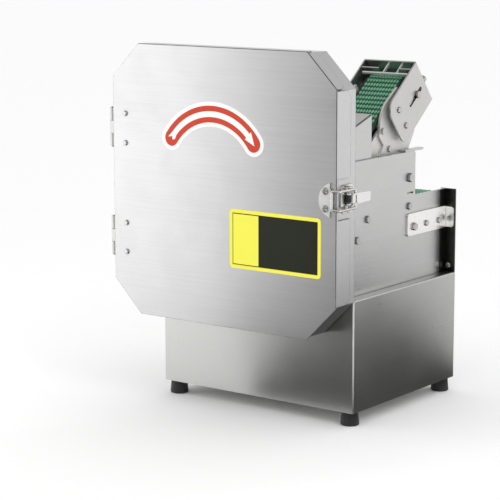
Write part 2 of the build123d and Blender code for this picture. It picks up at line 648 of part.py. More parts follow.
def linkPlate(side):
    # from the pivot up round the frame's lower end, with a notch under its rounded shoulder
    p = [(pivotY - y, pivotZ + z) for y, z in
         ((14.4, 115.5), (37.7, 99.2), (49.2, 85.5), (53.9, 68.5), (55.2, 56.5), (44.9, 44.5), (53.1, 31.5),
          (45.4, 13.5), (15.4, -8.5))]
    rear = [(pivotY + y, pivotZ + z) for y, z in ((14.6, -6.5), (13.6, 35.5), (27.6, 56.5), (22.6, 75.5))]
    edge = (Line(p[0], p[1]) + ThreePointArc(p[1], p[2], p[3]) + Line(p[3], p[4]) + Line(p[4], p[5]) + Line(p[5], p[6])
            + Line(p[6], p[7]) + Line(p[7], p[8])
            + ThreePointArc(p[8], (pivotY, pivotZ - 16), rear[0]) + Line(rear[0], rear[1]) + Line(rear[1], rear[2])
            + Line(rear[2], rear[3]) + Line(rear[3], p[0]))
    x = linkX[side]
    outlineFace = make_face(edge)
    if side < 0:         # the left plate runs on to the nose roller by itself
        outlineFace += pressSketch() * noseArm()
    plate = sideSheet(outlineFace, x, linkSheet)
    if side < 0:
        plate = drilled(plate, yz(x, [(noseY, noseZ)]), (1, 0, 0), 3.05, 10)
        plate -= rod((x - 1, noseY, noseZ), (1, 0, 0), sunkRadius + runningGap, 1 + sunkDepth)
    plate = drilled(plate, yz(x, [(pivotY, pivotZ)]), (1, 0, 0), pivotRadius + runningGap, 20)
    if side > 0:
        plate = drilled(plate, yz(x, linkBolts), (1, 0, 0), 2.05, 10)
    return drilled(plate, yz(x, [turned(tailY, tailZ, *s) for s in frameScrews]), (1, 0, 0), 2.05, 10)


def noseArm():
    # the strip along the belt that reaches the nose roller, as a sketch in (along, across)
    reach = noseReach - 66
    return inFrame(-(noseReach + 66) / 2, 0) * SlotOverall(reach + 26, 26)


def pressSketch():
    # the press unit's own directions inside a sketch in (y, z)
    return Pos(tailY, tailZ) * Rot(0, 0, pressAngle)


def sideBar():
    # a strip inside the right link plate that runs down to the nose roller
    bar = pressPlate(noseArm(), barInner, linkSheet)
    bar = drilled(bar, yz(barInner, [(noseY, noseZ)]), (1, 0, 0), 3.05, 10)
    return drilled(bar, yz(barInner, linkBolts), (1, 0, 0), 2.05, 10)


lugSheet, lugAlong, lugAcross = 2, 10, (frameUp + 0.8, frameUp + 6.8)
leftLugReach, rightLugReach = 27, 18


def pressFrame():
    # two rounded side plates joined by an end plate at the tail, with a folded lug inside each
    face = Polygon((frameFront, -frameDown), (frameBack, -frameDown), (frameBack, -frameUp), (frameFront, -frameUp),
                   align=None)
    face = fillet(face.vertices().sort_by_distance((frameFront, -frameDown, 0))[0], 12)
    face = fillet(face.vertices().sort_by_distance((frameFront, -frameUp, 0))[0], 18)
    slot = inFrame(sum(slotSpan) / 2, 0) * SlotOverall(slotSpan[1] - slotSpan[0], tensionSlotWidth)
    frame = pressPlate(face - slot, frameInner[1], frameSheet) + pressPlate(face - slot, frameLeft, frameSheet)
    end = Polygon((frameBack - frameSheet, -frameDown), (frameBack, -frameDown), (frameBack, -frameUp),
                  (frameBack - frameSheet, -frameUp), align=None)
    frame += pressPlate(end, frameLeft, frameRight - frameLeft)
    folds = [(x, *turned(tailY, tailZ, frameBack, 0)) for x in (frameLeft, frameRight)]
    frame = fillet([frame.edges().sort_by_distance(place)[0] for place in folds], frameSheet)
    lug = Polygon((lugAlong, -lugAcross[1]), (lugAlong + lugSheet, -lugAcross[1]), (lugAlong + lugSheet, -lugAcross[0]),
                  (lugAlong, -lugAcross[0]), align=None)
    frame += pressPlate(lug, frameInner[-1] - 0.5, leftLugReach + 0.5)
    frame += pressPlate(lug, frameInner[1] - rightLugReach, rightLugReach + 0.5)
    for x in (frameLeft, frameRight):
        frame = drilled(frame, yz(x, [turned(tailY, tailZ, *s) for s in frameScrews]), (1, 0, 0), 2.05, 6)
    return drilled(frame, tensionPlaces, pressAlong, 2.55, 6)


pressAlong = (0, cos(radians(pressAngle)), sin(radians(pressAngle)))
tensionPlaces = [(frameInner[s] - s * tensionInset, *turned(tailY, tailZ, frameBack, 0)) for s in (-1, 1)]


def tensioner():
    # a bright bar across the tail roller, on two ribs from the end plate
    low, high = -frameUp - 5.3, -frameUp - 2.3
    bar = Polygon((2.5, low), (5, low), (5, high), (2.5, high), align=None)
    end = frameBack - frameSheet
    rib = Polygon((4.5, low), (end, low), (end, high), (4.5, high), align=None)
    piece = pressPlate(bar, frameInner[-1] + 4.5, frameInner[1] - frameInner[-1] - 7)
    for x in (frameRight - 42.5, frameRight - 22.3):
        piece += pressPlate(rib, x, 2)
    return piece


def pressScrews():
    # through the frame, a spacer and the link plate on each side, then the bolts of the link plates
    pieces = []
    for side in (-1, 1):
        out, back = (side, 0, 0), (-side, 0, 0)
        gap = abs(frameInner[side] - linkOuter[side])
        for place in frameScrews:
            y, z = turned(tailY, tailZ, *place)
            pieces.append(panHead((frameOuter[side], y, z), out, 4, 2, frameSheet + gap + linkSheet + nutThick))
            tube = rod((linkOuter[side], y, z), out, 5, gap) - rod((linkOuter[side], y, z), out, 2.05, gap)
            pieces.append(tube)
            pieces.append(hexNut((linkInner[side], y, z), back, 7, nutThick, 2))
    for (y, z), sheets in zip(linkBolts, (2, 1)):
        grip = sheets * linkSheet
        pieces.append(hexHead((linkRight, y, z), (1, 0, 0), 7, 2.6, 2, grip + nutThick))
        pieces.append(hexNut((linkRight - grip, y, z), (-1, 0, 0), 7, nutThick, 2))
    for x, y, z in tensionPlaces:
        washer = rod((x, y, z), pressAlong, 5, 1) - rod((x, y, z), pressAlong, 2.55, 1)
        head = tuple(p + c for p, c in zip((x, y, z), pressAlong))
        pieces += [washer, hexHead(head, pressAlong, 8, 5, 2.5, frameBack - axleRadius + 1)]
    return pieces


def tailAxle():
    # a plain axle between the frame's plates, held in their slots by a bolt at each end
    parts = rod((frameInner[-1], tailY, tailZ), (1, 0, 0), axleRadius, frameInner[1] - frameInner[-1])
    for side in (-1, 1):
        parts += hexHead((frameOuter[side], tailY, tailZ), (side, 0, 0), 8, 3.5, 2.7, frameSheet)
    return parts


def noseAxle():
    # between the left link plate, where its screw is sunk, and the side bar
    parts = rod((linkInner[-1], noseY, noseZ), (1, 0, 0), axleRadius, barInner - linkInner[-1])
    parts += rod((linkLeft, noseY, noseZ), (1, 0, 0), sunkRadius, sunkDepth) + rod((linkLeft, noseY, noseZ), (1, 0, 0), 3, linkSheet)
    return parts + hexHead((linkInner[1], noseY, noseZ), (1, 0, 0), 8, 3, 3, linkSheet)


def drum(y, z):
    shell = rod((pressBeltX0, y, z), (1, 0, 0), pressRollerRadius, pressBeltX1 - pressBeltX0)
    shell = fillet(shell.edges().filter_by(GeomType.CIRCLE), 1)
    return shell - rod((pressBeltX0 - 1, y, z), (1, 0, 0), axleRadius + runningGap, pressBeltX1 - pressBeltX0 + 2)


def pressBed():
    # a tray between the side bar and the left link plate that backs the belt's lower run
    low = pressRollerRadius
    tray = Polygon((-noseReach + 24, -low), (-28, -low), (-28, -low + 12), (-noseReach + 24, -low + 12), align=None)
    inner = Polygon((-noseReach + 23, -low + bedSheet), (-27, -low + bedSheet), (-27, -low + 13),
                    (-noseReach + 23, -low + 13), align=None)
    bed = pressPlate(tray, linkInner[-1], barInner - linkInner[-1])
    bed -= pressPlate(inner, linkInner[-1] + bedSheet, barInner - linkInner[-1] - 2 * bedSheet)
    for place in [turned(tailY, tailZ, *s) for s in frameScrews]:
        bed -= rod((linkInner[-1] - 1, *place), (1, 0, 0), 4.6, nutThick + 3)
    return bed


save("link_plates", linkPlate(1), linkPlate(-1))
save("press_side_bar", sideBar())
save("press_frame", pressFrame())
save("press_tensioner", tensioner())
save("press_screws", *pressScrews())
save("press_bed", pressBed())
save("press_axles", tailAxle(), noseAxle())
save("press_roller_tail", drum(tailY, tailZ))
save("press_roller_nose", drum(noseY, noseZ))
save("press_belt", beltLoop(noseY, noseZ, tailY, tailZ, pressRollerRadius, pressBeltSheet, pressBeltX0, pressBeltX1))


def pivotBolt(side):
    outer = panelRightOuter if side > 0 else panelLeftOuter
    inner = panelRightInner if side > 0 else panelLeftInner
    link = linkOuter[side]
    gap = abs(inner - link)
    bolt = hexHead((outer, pivotY, pivotZ), (side, 0, 0), 10, 4, pivotRadius, panelSheet + gap + linkSheet + 5)
    bolt += rod((inner, pivotY, pivotZ), (-side, 0, 0), 8, gap - sideGap)
    nut = hexNut((link - side * (linkSheet + sideGap), pivotY, pivotZ), (-side, 0, 0), 13, 4.5, pivotRadius)
    return bolt + nut


save("pivot_bolts", pivotBolt(1), pivotBolt(-1))


# ---- Infeed rollers in flanged bearings, with the feed motor on the rear shaft ----
motorGap = 3           # from a bearing's boss to the gearbox


def bearingBlock(face, y, z, side):
    # a two-bolt flanged bearing against a panel face, boss towards the side
    out = (side, 0, 0)
    lozenge = make_hull([*(Pos(y, z) * Circle(12)).edges(), *(Pos(y, z + bearingBoltSpan) * Circle(5)).edges(),
                         *(Pos(y, z - bearingBoltSpan) * Circle(5)).edges()])
    plate = sideSheet(lozenge, face if side > 0 else face - bearingFlange, bearingFlange)
    body = plate + rod((face, y, z), out, 11, bearingDepth)
    body -= rod((face - side, y, z), out, shaftRadius + runningGap, bearingDepth + 5)
    return drilled(body, [(face, y, z + s * bearingBoltSpan) for s in (-1, 1)], (1, 0, 0), 2.05, 20)


def infeedRoller(y, z, leftEnd):
    body = rod((beltX0 + 1, y, z), (1, 0, 0), rollerRadius, infeedBeltWidth - 2)
    body = fillet(body.edges().filter_by(GeomType.CIRCLE), 1.5)
    rightEnd = panelRightInner - 0.5
    return body + rod((leftEnd, y, z), (1, 0, 0), shaftRadius, rightEnd - leftEnd)


def innerBush(y, z):
    # a plain bush on the inside of the right panel
    face = beltX1 - 1 + 0.6
    bush = rod((face, y, z), (1, 0, 0), 12, panelRightInner - face)
    return bush - rod((face - 1, y, z), (1, 0, 0), shaftRadius + runningGap, panelRightInner - face + 2)


gearFace = panelLeftOuter - bearingDepth - motorGap
gearRadius, gearLength, feedMotorRadius, feedMotorLength = 24, 34, 20, 62
save("roller_bearings", *[bearingBlock(panelLeftOuter, y, z, -1) for y, z in infeedAxes],
     *[innerBush(y, z) for y, z in infeedAxes])
save("infeed_roller_front", infeedRoller(*infeedAxes[0], panelLeftOuter - bearingDepth - 1))
save("infeed_roller_rear", infeedRoller(*infeedAxes[1], gearFace - 18))


def feedMotor():
    # a small gearbox with its motor; the roller's shaft runs in its hollow output
    y, z = infeedAxes[1]
    body = rod((gearFace, y, z), (-1, 0, 0), gearRadius, gearLength)
    body = fillet(body.edges().filter_by(GeomType.CIRCLE), 2)
    body += rod((gearFace - gearLength + 1, y, z), (-1, 0, 0), feedMotorRadius, feedMotorLength)
    body -= rod((gearFace + 1, y, z), (-1, 0, 0), shaftRadius + runningGap, 21)
    posts = []
    for a in (0, 180):
        py, pz = y + (gearRadius - 5) * cos(radians(a)), z + (gearRadius - 5) * sin(radians(a))
        posts.append(rod((gearFace, py, pz), (1, 0, 0), 3.5, panelLeftOuter - gearFace))
    return [body] + posts


save("feed_motor", *feedMotor())


# ---- Cutter: spindle in a flanged housing, hub with curved blades, belt drive from the motor in the base ----
spindleBoreRadius = 26
bladeRear = baseFront - sheet - 1.5 - 0.6
hubRear = bladeRear - bladeSheet
hubThick, bossRadius = 9, 20
spindleEnd = beltPlaneY + 13
bearingWidth = 15


def spindleHousing():
    tube = rod((axisX, baseFront - sheet - 1, axisZ), (0, 1, 0), spindleTubeRadius, spindleHousingLength + sheet + 1)
    rim = rod((axisX, baseFront, axisZ), (0, 1, 0), spindleFlangeRadius, 6)
    body = tube + fillet(rim.edges().filter_by(GeomType.CIRCLE), 1)
    body -= rod((axisX, baseFront + 4, axisZ), (0, 1, 0), spindleBoreRadius, spindleHousingLength)
    body -= rod((axisX, baseFront - 10, axisZ), (0, 1, 0), bossRadius + 0.6, spindleHousingLength)
    return drilled(body, spindleScrewPlaces, (0, 1, 0), 3.1, 12)


def ringBearing(y):
    ring = rod((axisX, y, axisZ), (0, 1, 0), spindleBoreRadius, bearingWidth)
    ring -= rod((axisX, y - 1, axisZ), (0, 1, 0), spindleRadius + runningGap, bearingWidth + 2)
    for face in (y - 0.01, y + bearingWidth - 1.2):
        groove = rod((axisX, face, axisZ), (0, 1, 0), spindleBoreRadius - 4, 1.21)
        ring -= groove - rod((axisX, face - 1, axisZ), (0, 1, 0), spindleRadius + 4, 4)
    return ring


def hub():
    # a turned hub: a disc with a domed front and a boss that passes back between the blades
    profile = Polyline((0, hubRear - hubThick - 6), (15, hubRear - hubThick - 6), (22, hubRear - hubThick),
                       (hubRadius - 3, hubRear - hubThick + 2), (hubRadius, hubRear - hubThick + 5), (hubRadius, hubRear),
                       (bossRadius, hubRear), (bossRadius, bladeRear + 2), (0, bladeRear + 2), close=True)
    solid = revolve(Plane.XY * make_face(profile), Axis.Y)
    solid = Pos(axisX, 0, axisZ) * solid
    solid -= rod((axisX, hubRear - 30, axisZ), (0, 1, 0), spindleRadius - 2, 60)
    for x, y, z in bladeBoltPlaces:
        solid -= rod((x, y, z), (0, -1, 0), 7, 8)
    return drilled(solid, bladeBoltPlaces, (0, 1, 0), 3.05, 20)


def polar(radius, angle):
    return (radius * cos(radians(angle)), radius * sin(radians(angle)))


def bladeBoltsAt(turn):
    return [(axisX + polar(33, turn + a)[0], hubRear - hubThick + 1.5, axisZ + polar(33, turn + a)[1])
            for a in (-22, 14)]


bladeTurns = [k * 360 / bladeCount + 20 for k in range(bladeCount)]
bladeBoltPlaces = [place for turn in bladeTurns for place in bladeBoltsAt(turn)]


def blade(turn):
    # a sickle: its root sits under the hub, and its cutting edge sweeps back to the tip
    inner, outer = bossRadius + 1, cutterRadius
    edge = [polar(hubRadius + 4, turn + 30), polar(108, turn + 44), polar(outer, turn + 47)]
    spine = [polar(outer, turn + 35), polar(112, turn + 18), polar(hubRadius + 6, turn - 24)]
    root = [polar(inner, turn - 36), polar(inner, turn - 5), polar(inner, turn + 26)]
    lines = (ThreePointArc(*edge) + ThreePointArc(edge[2], polar(outer, turn + 41), spine[0]) + ThreePointArc(*spine)
             + Line(spine[2], root[0]) + ThreePointArc(*root) + Line(root[2], edge[0]))
    face = Pos(axisX, axisZ) * make_face(lines)
    solid = frontSheet(face, hubRear, bladeSheet)
    return drilled(solid, bladeBoltsAt(turn), (0, 1, 0), 3.05, 20)


def bevelled(solid, turn):
    # grinds the cutting edge to a wedge on its front
    middle = polar(108, turn + 44)
    place = Vector(axisX + middle[0], hubRear, axisZ + middle[1])
    edge = solid.edges().sort_by_distance(place)[0]
    return chamfer(edge, 9, 2.2, reference=solid.faces().sort_by(Axis.Y)[0])


def grooveHalf(height):
    # half a pulley groove's width at a height over the belt's top, with its flanks along the belt's
    return beltTopHalf + flankGap + height * (beltTopHalf - beltRootHalf) / driveBeltDepth


def pulley(x, y, z, radius, bore, width=18):
    # a turned V-belt pulley
    half, lip, deep = width / 2, 2, 9.5
    top, root = grooveHalf(lip), grooveHalf(-deep)
    profile = Polyline((bore, -half), (radius + lip, -half), (radius + lip, -top), (radius - deep, -root),
                       (radius - deep, root), (radius + lip, top), (radius + lip, half), (bore, half), close=True)
    wheel = revolve(Plane.XY * make_face(profile), Axis.Y)
    return Pos(x, y, z) * wheel


beltTopHalf, beltRootHalf, driveBeltDepth, flankGap = 6, 4, 8, 0.1


def beltWrap(inset, y):
    # the line that wraps both pulleys, set in from the belt's top, as a face at y
    hull = make_hull([*(Pos(axisX, axisZ) * Circle(spindlePulleyRadius - inset)).edges(),
                      *(Pos(motorX, motorZ) * Circle(motorPulleyRadius - inset)).edges()])
    return (Plane.XZ.offset(-y) * hull).face()


def driveBelt():
    # a V-belt: a flat loop whose flanks slope in to the narrower root
    belt = extrude(beltWrap(0, beltPlaneY - beltTopHalf), amount=-2 * beltTopHalf)
    belt -= extrude(beltWrap(driveBeltDepth, beltPlaneY - beltTopHalf), amount=-2 * beltTopHalf)
    for side in (-1, 1):
        belt -= loft([beltWrap(0, beltPlaneY + side * beltTopHalf),
                      beltWrap(driveBeltDepth, beltPlaneY + side * beltRootHalf)], ruled=True)
    return belt


def driveMotor():
    # a foot-mounted motor with cooling ribs and a fan cowl
    length = motorBack - motorFront
    core = rod((motorX, motorFront, motorZ), (0, 1, 0), motorRadius - 7, length)
    ends = (rod((motorX, motorFront, motorZ), (0, 1, 0), motorRadius - 2, 14)
            + rod((motorX, motorBack - 30, motorZ), (0, 1, 0), motorRadius, 30))
    body = core + fillet(ends.edges().filter_by(GeomType.CIRCLE), 2)
    for k in range(14):
        angle = 180 - 13 * (k - 6.5) - 90
        dx, dz = polar(motorRadius - 5, angle)
        rib = Pos(motorX + dx, (motorFront + motorBack) / 2 - 8, motorZ + dz) * Rot(0, -angle, 0) * Box(8, length - 40, 2)
        body += rib
    for y in motorFeetY:
        saddle = block(motorX - 34, motorX + 34, y - 9, y + 9, footHeight + floorSheet, motorZ - 20)
        body += saddle - rod((motorX, y - 10, motorZ), (0, 1, 0), motorRadius - 8, 20)
        body += block(motorX - 46, motorX + 46, y - 9, y + 9, footHeight + floorSheet,
                      footHeight + floorSheet + motorFootSheet)
    body = drilled(body, motorBoltPlaces, (0, 0, 1), 3.1, 20)
    return body - rod((motorX, motorFront - 1, motorZ), (0, 1, 0), motorShaftRadius + runningGap, 30)


save("spindle_housing", spindleHousing())
save("spindle_bearings", ringBearing(baseFront + 4), ringBearing(baseFront + spindleHousingLength - bearingWidth))
housingFasteners += [hexHead((x, baseFront + 6, z), (0, 1, 0), 10, 4, 3, 6 + sheet) for x, y, z in spindleScrewPlaces]
save("housing_screws", *housingFasteners)
shaft = rod((axisX, hubRear - hubThick - 14, axisZ), (0, 1, 0), spindleRadius - 2, 16 + hubThick + bladeSheet)
shaft += rod((axisX, bladeRear + 2, axisZ), (0, 1, 0), spindleRadius, spindleEnd - bladeRear - 2)
save("spindle_shaft", shaft)
save("cutter_hub", hub())
save("cutter_blades", *[bevelled(blade(turn), turn) for turn in bladeTurns])
bolts = []
for place in bladeBoltPlaces:
    bolts.append(hexHead(place, (0, -1, 0), 9, 3, 3, hubThick + bladeSheet - 1.5))
nutY = hubRear - hubThick - 6
save("hub_bolts", *bolts, hexNut((axisX, nutY, axisZ), (0, -1, 0), 30, 7, spindleRadius - 2))
save("spindle_pulley", pulley(axisX, beltPlaneY, axisZ, spindlePulleyRadius, spindleRadius))
save("motor_pulley", pulley(motorX, beltPlaneY, motorZ, motorPulleyRadius, motorShaftRadius))
save("motor_shaft", rod((motorX, motorFront + 25, motorZ), (0, -1, 0), motorShaftRadius,
                        motorFront + 25 - beltPlaneY + 9))
save("drive_belt", driveBelt())
save("drive_motor", driveMotor())


# ---- Drive casing on the left of the feed channel, with its controls ----
casingTop = axisZ + spindlePulleyRadius + 8
casingStep = panelTop - 5.5             # lower beside the press frame
casingStepX = panelLeftOuter - 11
casingRound = 14


def casingProfile(inset):
    # the casing's outline in (x, z), or that of the room inside it
    low = baseTop - (1 if inset else 0)
    right = panelLeftOuter + (1 if inset else 0)
    points = [(baseLeft + inset, low), (right, low), (right, casingStep - inset), (casingStepX - inset, casingStep - inset),
              (casingStepX - inset, casingTop - inset), (baseLeft + inset, casingTop - inset)]
    return outline(points, casingRound - inset, (5,))


def casing():
    front, rear = baseFront, baseRear - sheet
    shell = frontSheet(casingProfile(0), front, rear - front) - frontSheet(casingProfile(sheet), front - 1, rear - front + 2)
    shell += block(baseLeft + sheet / 2, baseLeft + 16, front, rear, baseTop, baseTop + sheet)
    for x, y, z in controlPlaces.values():
        shell -= rod((x - 5, y, z), (1, 0, 0), 11, 10)
    return shell


def rearCover():
    # the casing's rear wall, with cooling slots
    cover = frontSheet(casingProfile(0), baseRear - sheet, sheet)
    for row in range(5):
        z = baseTop + 40 + row * 12
        cover -= block(-90, -30, baseRear - 2 * sheet, baseRear + 1, z, z + 4)
    return cover


controlZ = baseTop + 102
controlPlaces = {"start": (baseLeft, 4, controlZ), "stop": (baseLeft, 44, controlZ),
                 "emergency": (baseLeft, 88, controlZ), "speed": (baseLeft, -40, controlZ)}


sleeveDepth = 18
buttonTravel, emergencyTravel = 3, 5


def bezel(place):
    # a chromed collar with a closed sleeve behind the panel
    x, y, z = place
    ring = rod((x, y, z), (-1, 0, 0), 15, 3) + rod((x, y, z), (1, 0, 0), 10.8, sleeveDepth)
    ring = fillet(ring.edges().filter_by(GeomType.CIRCLE).sort_by(Axis.X)[0], 1)
    return ring - rod((x - 10, y, z), (1, 0, 0), 9, sleeveDepth + 8)


def stem(x, y, z, radius, front, travel):
    # runs from the button's head into the sleeve and stops short of its end by the travel
    return rod((x + front, y, z), (1, 0, 0), radius, sleeveDepth - 3 - travel - front)


def button(place):
    x, y, z = place
    return fillet(stem(x, y, z, 8.6, -7, buttonTravel).edges().filter_by(GeomType.CIRCLE), 1)


def mushroom(place):
    x, y, z = place
    head = Pos(x - 20, y, z) * Rot(0, 90, 0) * Cylinder(20, 11, align=(Align.CENTER, Align.CENTER, Align.MIN))
    head = fillet(head.edges().filter_by(GeomType.CIRCLE).sort_by(Axis.X)[0], 5)
    return head + stem(x, y, z, 8.6, -10, emergencyTravel)


def knob(place):
    x, y, z = place
    front, length = x - 18.5, 15
    body = Pos(front, y, z) * Rot(0, 90, 0) * Cone(13, 15, length, align=(Align.CENTER, Align.CENTER, Align.MIN))
    body = fillet(body.edges().filter_by(GeomType.CIRCLE).sort_by(Axis.X)[0], 2)
    for k in range(12):
        dy, dz = polar(15.5, k * 30)
        body -= rod((front - 1, y + dy, z + dz), (1, 0, 0), 2, length + 2)
    pointer = block(front - 1, front + 1, y - 0.8, y + 0.8, z + 2, z + 12)
    return body + pointer + rod((front + length - 1, y, z), (1, 0, 0), 3, 14)


save("drive_casing", casing())
save("casing_rear_cover", rearCover())
save("control_bezels", *[bezel(place) for place in controlPlaces.values()])
save("start_button", button(controlPlaces["start"]))
save("stop_button", button(controlPlaces["stop"]))
save("emergency_button", mushroom(controlPlaces["emergency"]))
save("speed_knob", knob(controlPlaces["speed"]))
gland = hexHead(glandPlace, (0, 1, 0), 22, 6, 7.9, sheet + 6) + rod((glandPlace[0], baseRear + 6, glandPlace[2]), (0, 1, 0), 9, 10)
gland = fillet(gland.edges().filter_by(GeomType.CIRCLE).sort_by(Axis.Y)[-1], 3)
save("cable_gland", gland - rod((glandPlace[0], baseRear - 20, glandPlace[2]), (0, 1, 0), 3.6, 50))
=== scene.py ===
import math
import random

import bmesh
import bpy
from mathutils import Matrix, Vector


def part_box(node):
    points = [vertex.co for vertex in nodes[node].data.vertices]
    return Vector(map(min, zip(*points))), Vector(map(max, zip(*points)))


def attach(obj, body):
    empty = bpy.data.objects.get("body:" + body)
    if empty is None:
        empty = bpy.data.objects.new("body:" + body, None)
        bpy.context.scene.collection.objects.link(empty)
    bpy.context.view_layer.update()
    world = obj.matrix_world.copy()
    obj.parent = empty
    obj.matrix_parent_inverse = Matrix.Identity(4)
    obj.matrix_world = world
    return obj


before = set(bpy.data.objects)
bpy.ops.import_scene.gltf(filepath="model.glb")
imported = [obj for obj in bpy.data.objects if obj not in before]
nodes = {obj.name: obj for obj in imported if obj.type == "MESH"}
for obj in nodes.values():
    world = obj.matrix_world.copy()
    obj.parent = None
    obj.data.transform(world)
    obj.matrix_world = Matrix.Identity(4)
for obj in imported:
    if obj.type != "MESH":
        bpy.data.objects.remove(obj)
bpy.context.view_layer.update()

# small helpers for shader trees


def addNode(tree, kind, values=None, **settings):
    node = tree.nodes.new(kind)
    for name, value in settings.items():
        setattr(node, name, value)
    for key, value in (values or {}).items():
        if isinstance(value, bpy.types.NodeSocket):
            tree.links.new(value, node.inputs[key])
        else:
            node.inputs[key].default_value = value
    return node


def mathNode(tree, operation, a, b=0.0, clamp=False):
    node = addNode(tree, "ShaderNodeMath", {0: a, 1: b}, operation=operation, use_clamp=clamp)
    return node.outputs[0]


def mapRange(tree, value, low, high, toLow=0.0, toHigh=1.0):
    ends = {0: value, 1: low, 2: high, 3: toLow, 4: toHigh}
    return addNode(tree, "ShaderNodeMapRange", ends).outputs[0]


def noise(tree, vector, scale, detail=2.0, **more):
    values = {"Vector": vector, "Scale": scale, "Detail": detail, **more}
    return addNode(tree, "ShaderNodeTexNoise", values).outputs[0]


def mixColour(tree, share, a, b):
    node = addNode(tree, "ShaderNodeMix", data_type="RGBA", blend_type="MIX")
    for socket, value in ((node.inputs[0], share), (node.inputs[6], a), (node.inputs[7], b)):
        if isinstance(value, bpy.types.NodeSocket):
            tree.links.new(value, socket)
        else:
            socket.default_value = value
    return node.outputs[2]


def newGroup(name, inputs, outputs):
    group = bpy.data.node_groups.new(name, "ShaderNodeTree")
    for socketName, kind, value in inputs:
        socket = group.interface.new_socket(socketName, in_out="INPUT", socket_type=kind)
        if value is not None:
            socket.default_value = value
    for socketName, kind in outputs:
        group.interface.new_socket(socketName, in_out="OUTPUT", socket_type=kind)
    start = group.nodes.new("NodeGroupInput")
    end = group.nodes.new("NodeGroupOutput")
    return group, start.outputs, end.inputs


floatSocket, vectorSocket = "NodeSocketFloat", "NodeSocketVector"


def rgba(r, g, b):
    return (r, g, b, 1.0)


def tinted(colour, factor, lift=0.0):
    return [min(1.0, c * factor + lift) for c in colour]


# where each shared mark starts and where it is full, then how much of it is left where it breaks up
markSpans = {
    "patch": (0.35, 0.68), "line": (0.36, 0.62), "smear": (0.42, 0.7),
    "edge": (0.985, 0.86), "edgeBreakup": (0.35, 0.6, 0.25),
    "cornerShade": (0.85, 0.25), "cornerShadeBreakup": (0.3, 0.6, 0.75),
    "offSide": (0.06, 0.2), "offFace": (0.995, 0.94), "foldBreakup": (0.3, 0.6, 0.8),
}
breakupScale = {"cornerShade": 60.0, "fold": 45.0}


# fine parallel lines left by a grinding belt, with slow patches in them
def brushedGrainGroup():
    group, given, put = newGroup(
        "brushedGrain",
        [("Vector", vectorSocket, None), ("Stretch", vectorSocket, (8.0, 900.0, 900.0)),
         ("Patch Scale", floatSocket, 9.0)],
        [("Shade", floatSocket), ("Height", floatSocket), ("Patch", floatSocket)],
    )
    lines = addNode(group, "ShaderNodeMapping", {"Vector": given["Vector"], "Scale": given["Stretch"]})
    fine = noise(group, lines.outputs[0], 1.0, 3.0, Roughness=0.6)
    # a second, coarser set of the same lines, and how much each set shades
    coarser, fineShare, coarseShare = (0.35, 0.22, 0.22), 0.65, 0.35
    wider = addNode(group, "ShaderNodeVectorMath", {0: lines.outputs[0], 1: coarser},
                    operation="MULTIPLY")
    coarse = noise(group, wider.outputs[0], 1.0)
    patch = noise(group, given["Vector"], given["Patch Scale"], 3.0)
    both = mathNode(group, "ADD", mathNode(group, "MULTIPLY", fine, fineShare),
                    mathNode(group, "MULTIPLY", coarse, coarseShare))
    group.links.new(both, put["Shade"])
    group.links.new(fine, put["Height"])
    group.links.new(mapRange(group, patch, *markSpans["patch"]), put["Patch"])
    return group


# edges, where a rounded normal leaves the true one: rubbed wear on turned and moulded parts, painted
# light on sheet steel and the belt lumps
def makeEdgeWearAndLightGroup():
    group, given, put = newGroup(
        "edgeWearAndLight",
        [("Vector", vectorSocket, None), ("Radius", floatSocket, 0.0008),
         ("Breakup", floatSocket, 160.0)],
        [("Mask", floatSocket)],
    )
    soft = addNode(group, "ShaderNodeBevel", {"Radius": given["Radius"]}, samples=4)
    true = addNode(group, "ShaderNodeNewGeometry")
    facing = addNode(group, "ShaderNodeVectorMath", {0: soft.outputs[0], 1: true.outputs["Normal"]},
                     operation="DOT_PRODUCT")
    edge = mapRange(group, facing.outputs["Value"], *markSpans["edge"])
    broken = noise(group, given["Vector"], given["Breakup"], 3.0)
    patchy = mapRange(group, broken, *markSpans["edgeBreakup"])
    group.links.new(mathNode(group, "MULTIPLY", edge, patchy, clamp=True), put["Mask"])
    return group


# faint wiped smears from handling and washing down
def handlingGroup():
    group, given, put = newGroup(
        "handling",
        [("Vector", vectorSocket, None), ("Smear Scale", floatSocket, 14.0)],
        [("Smear", floatSocket)],
    )
    smear = noise(group, given["Vector"], given["Smear Scale"], 5.0, Roughness=0.65, Distortion=0.6)
    group.links.new(mapRange(group, smear, *markSpans["smear"]), put["Smear"])
    return group


# painted shade, with some grime, where pieces meet and in recesses: darker where close surfaces hem a
# point in
def makeCornerShadeGroup():
    group, given, put = newGroup(
        "cornerShadeAndGrime",
        [("Vector", vectorSocket, None), ("Reach", floatSocket, 0.006)],
        [("Mask", floatSocket)],
    )
    near = addNode(group, "ShaderNodeAmbientOcclusion", {"Distance": given["Reach"]}, samples=6)
    # open faces get none, and deep corners take the full painted shade
    mask = mapRange(group, near.outputs["AO"], *markSpans["cornerShade"])
    broken = noise(group, given["Vector"], breakupScale["cornerShade"])
    patchy = mapRange(group, broken, *markSpans["cornerShadeBreakup"])
    group.links.new(mathNode(group, "MULTIPLY", mask, patchy, clamp=True), put["Mask"])
    return group


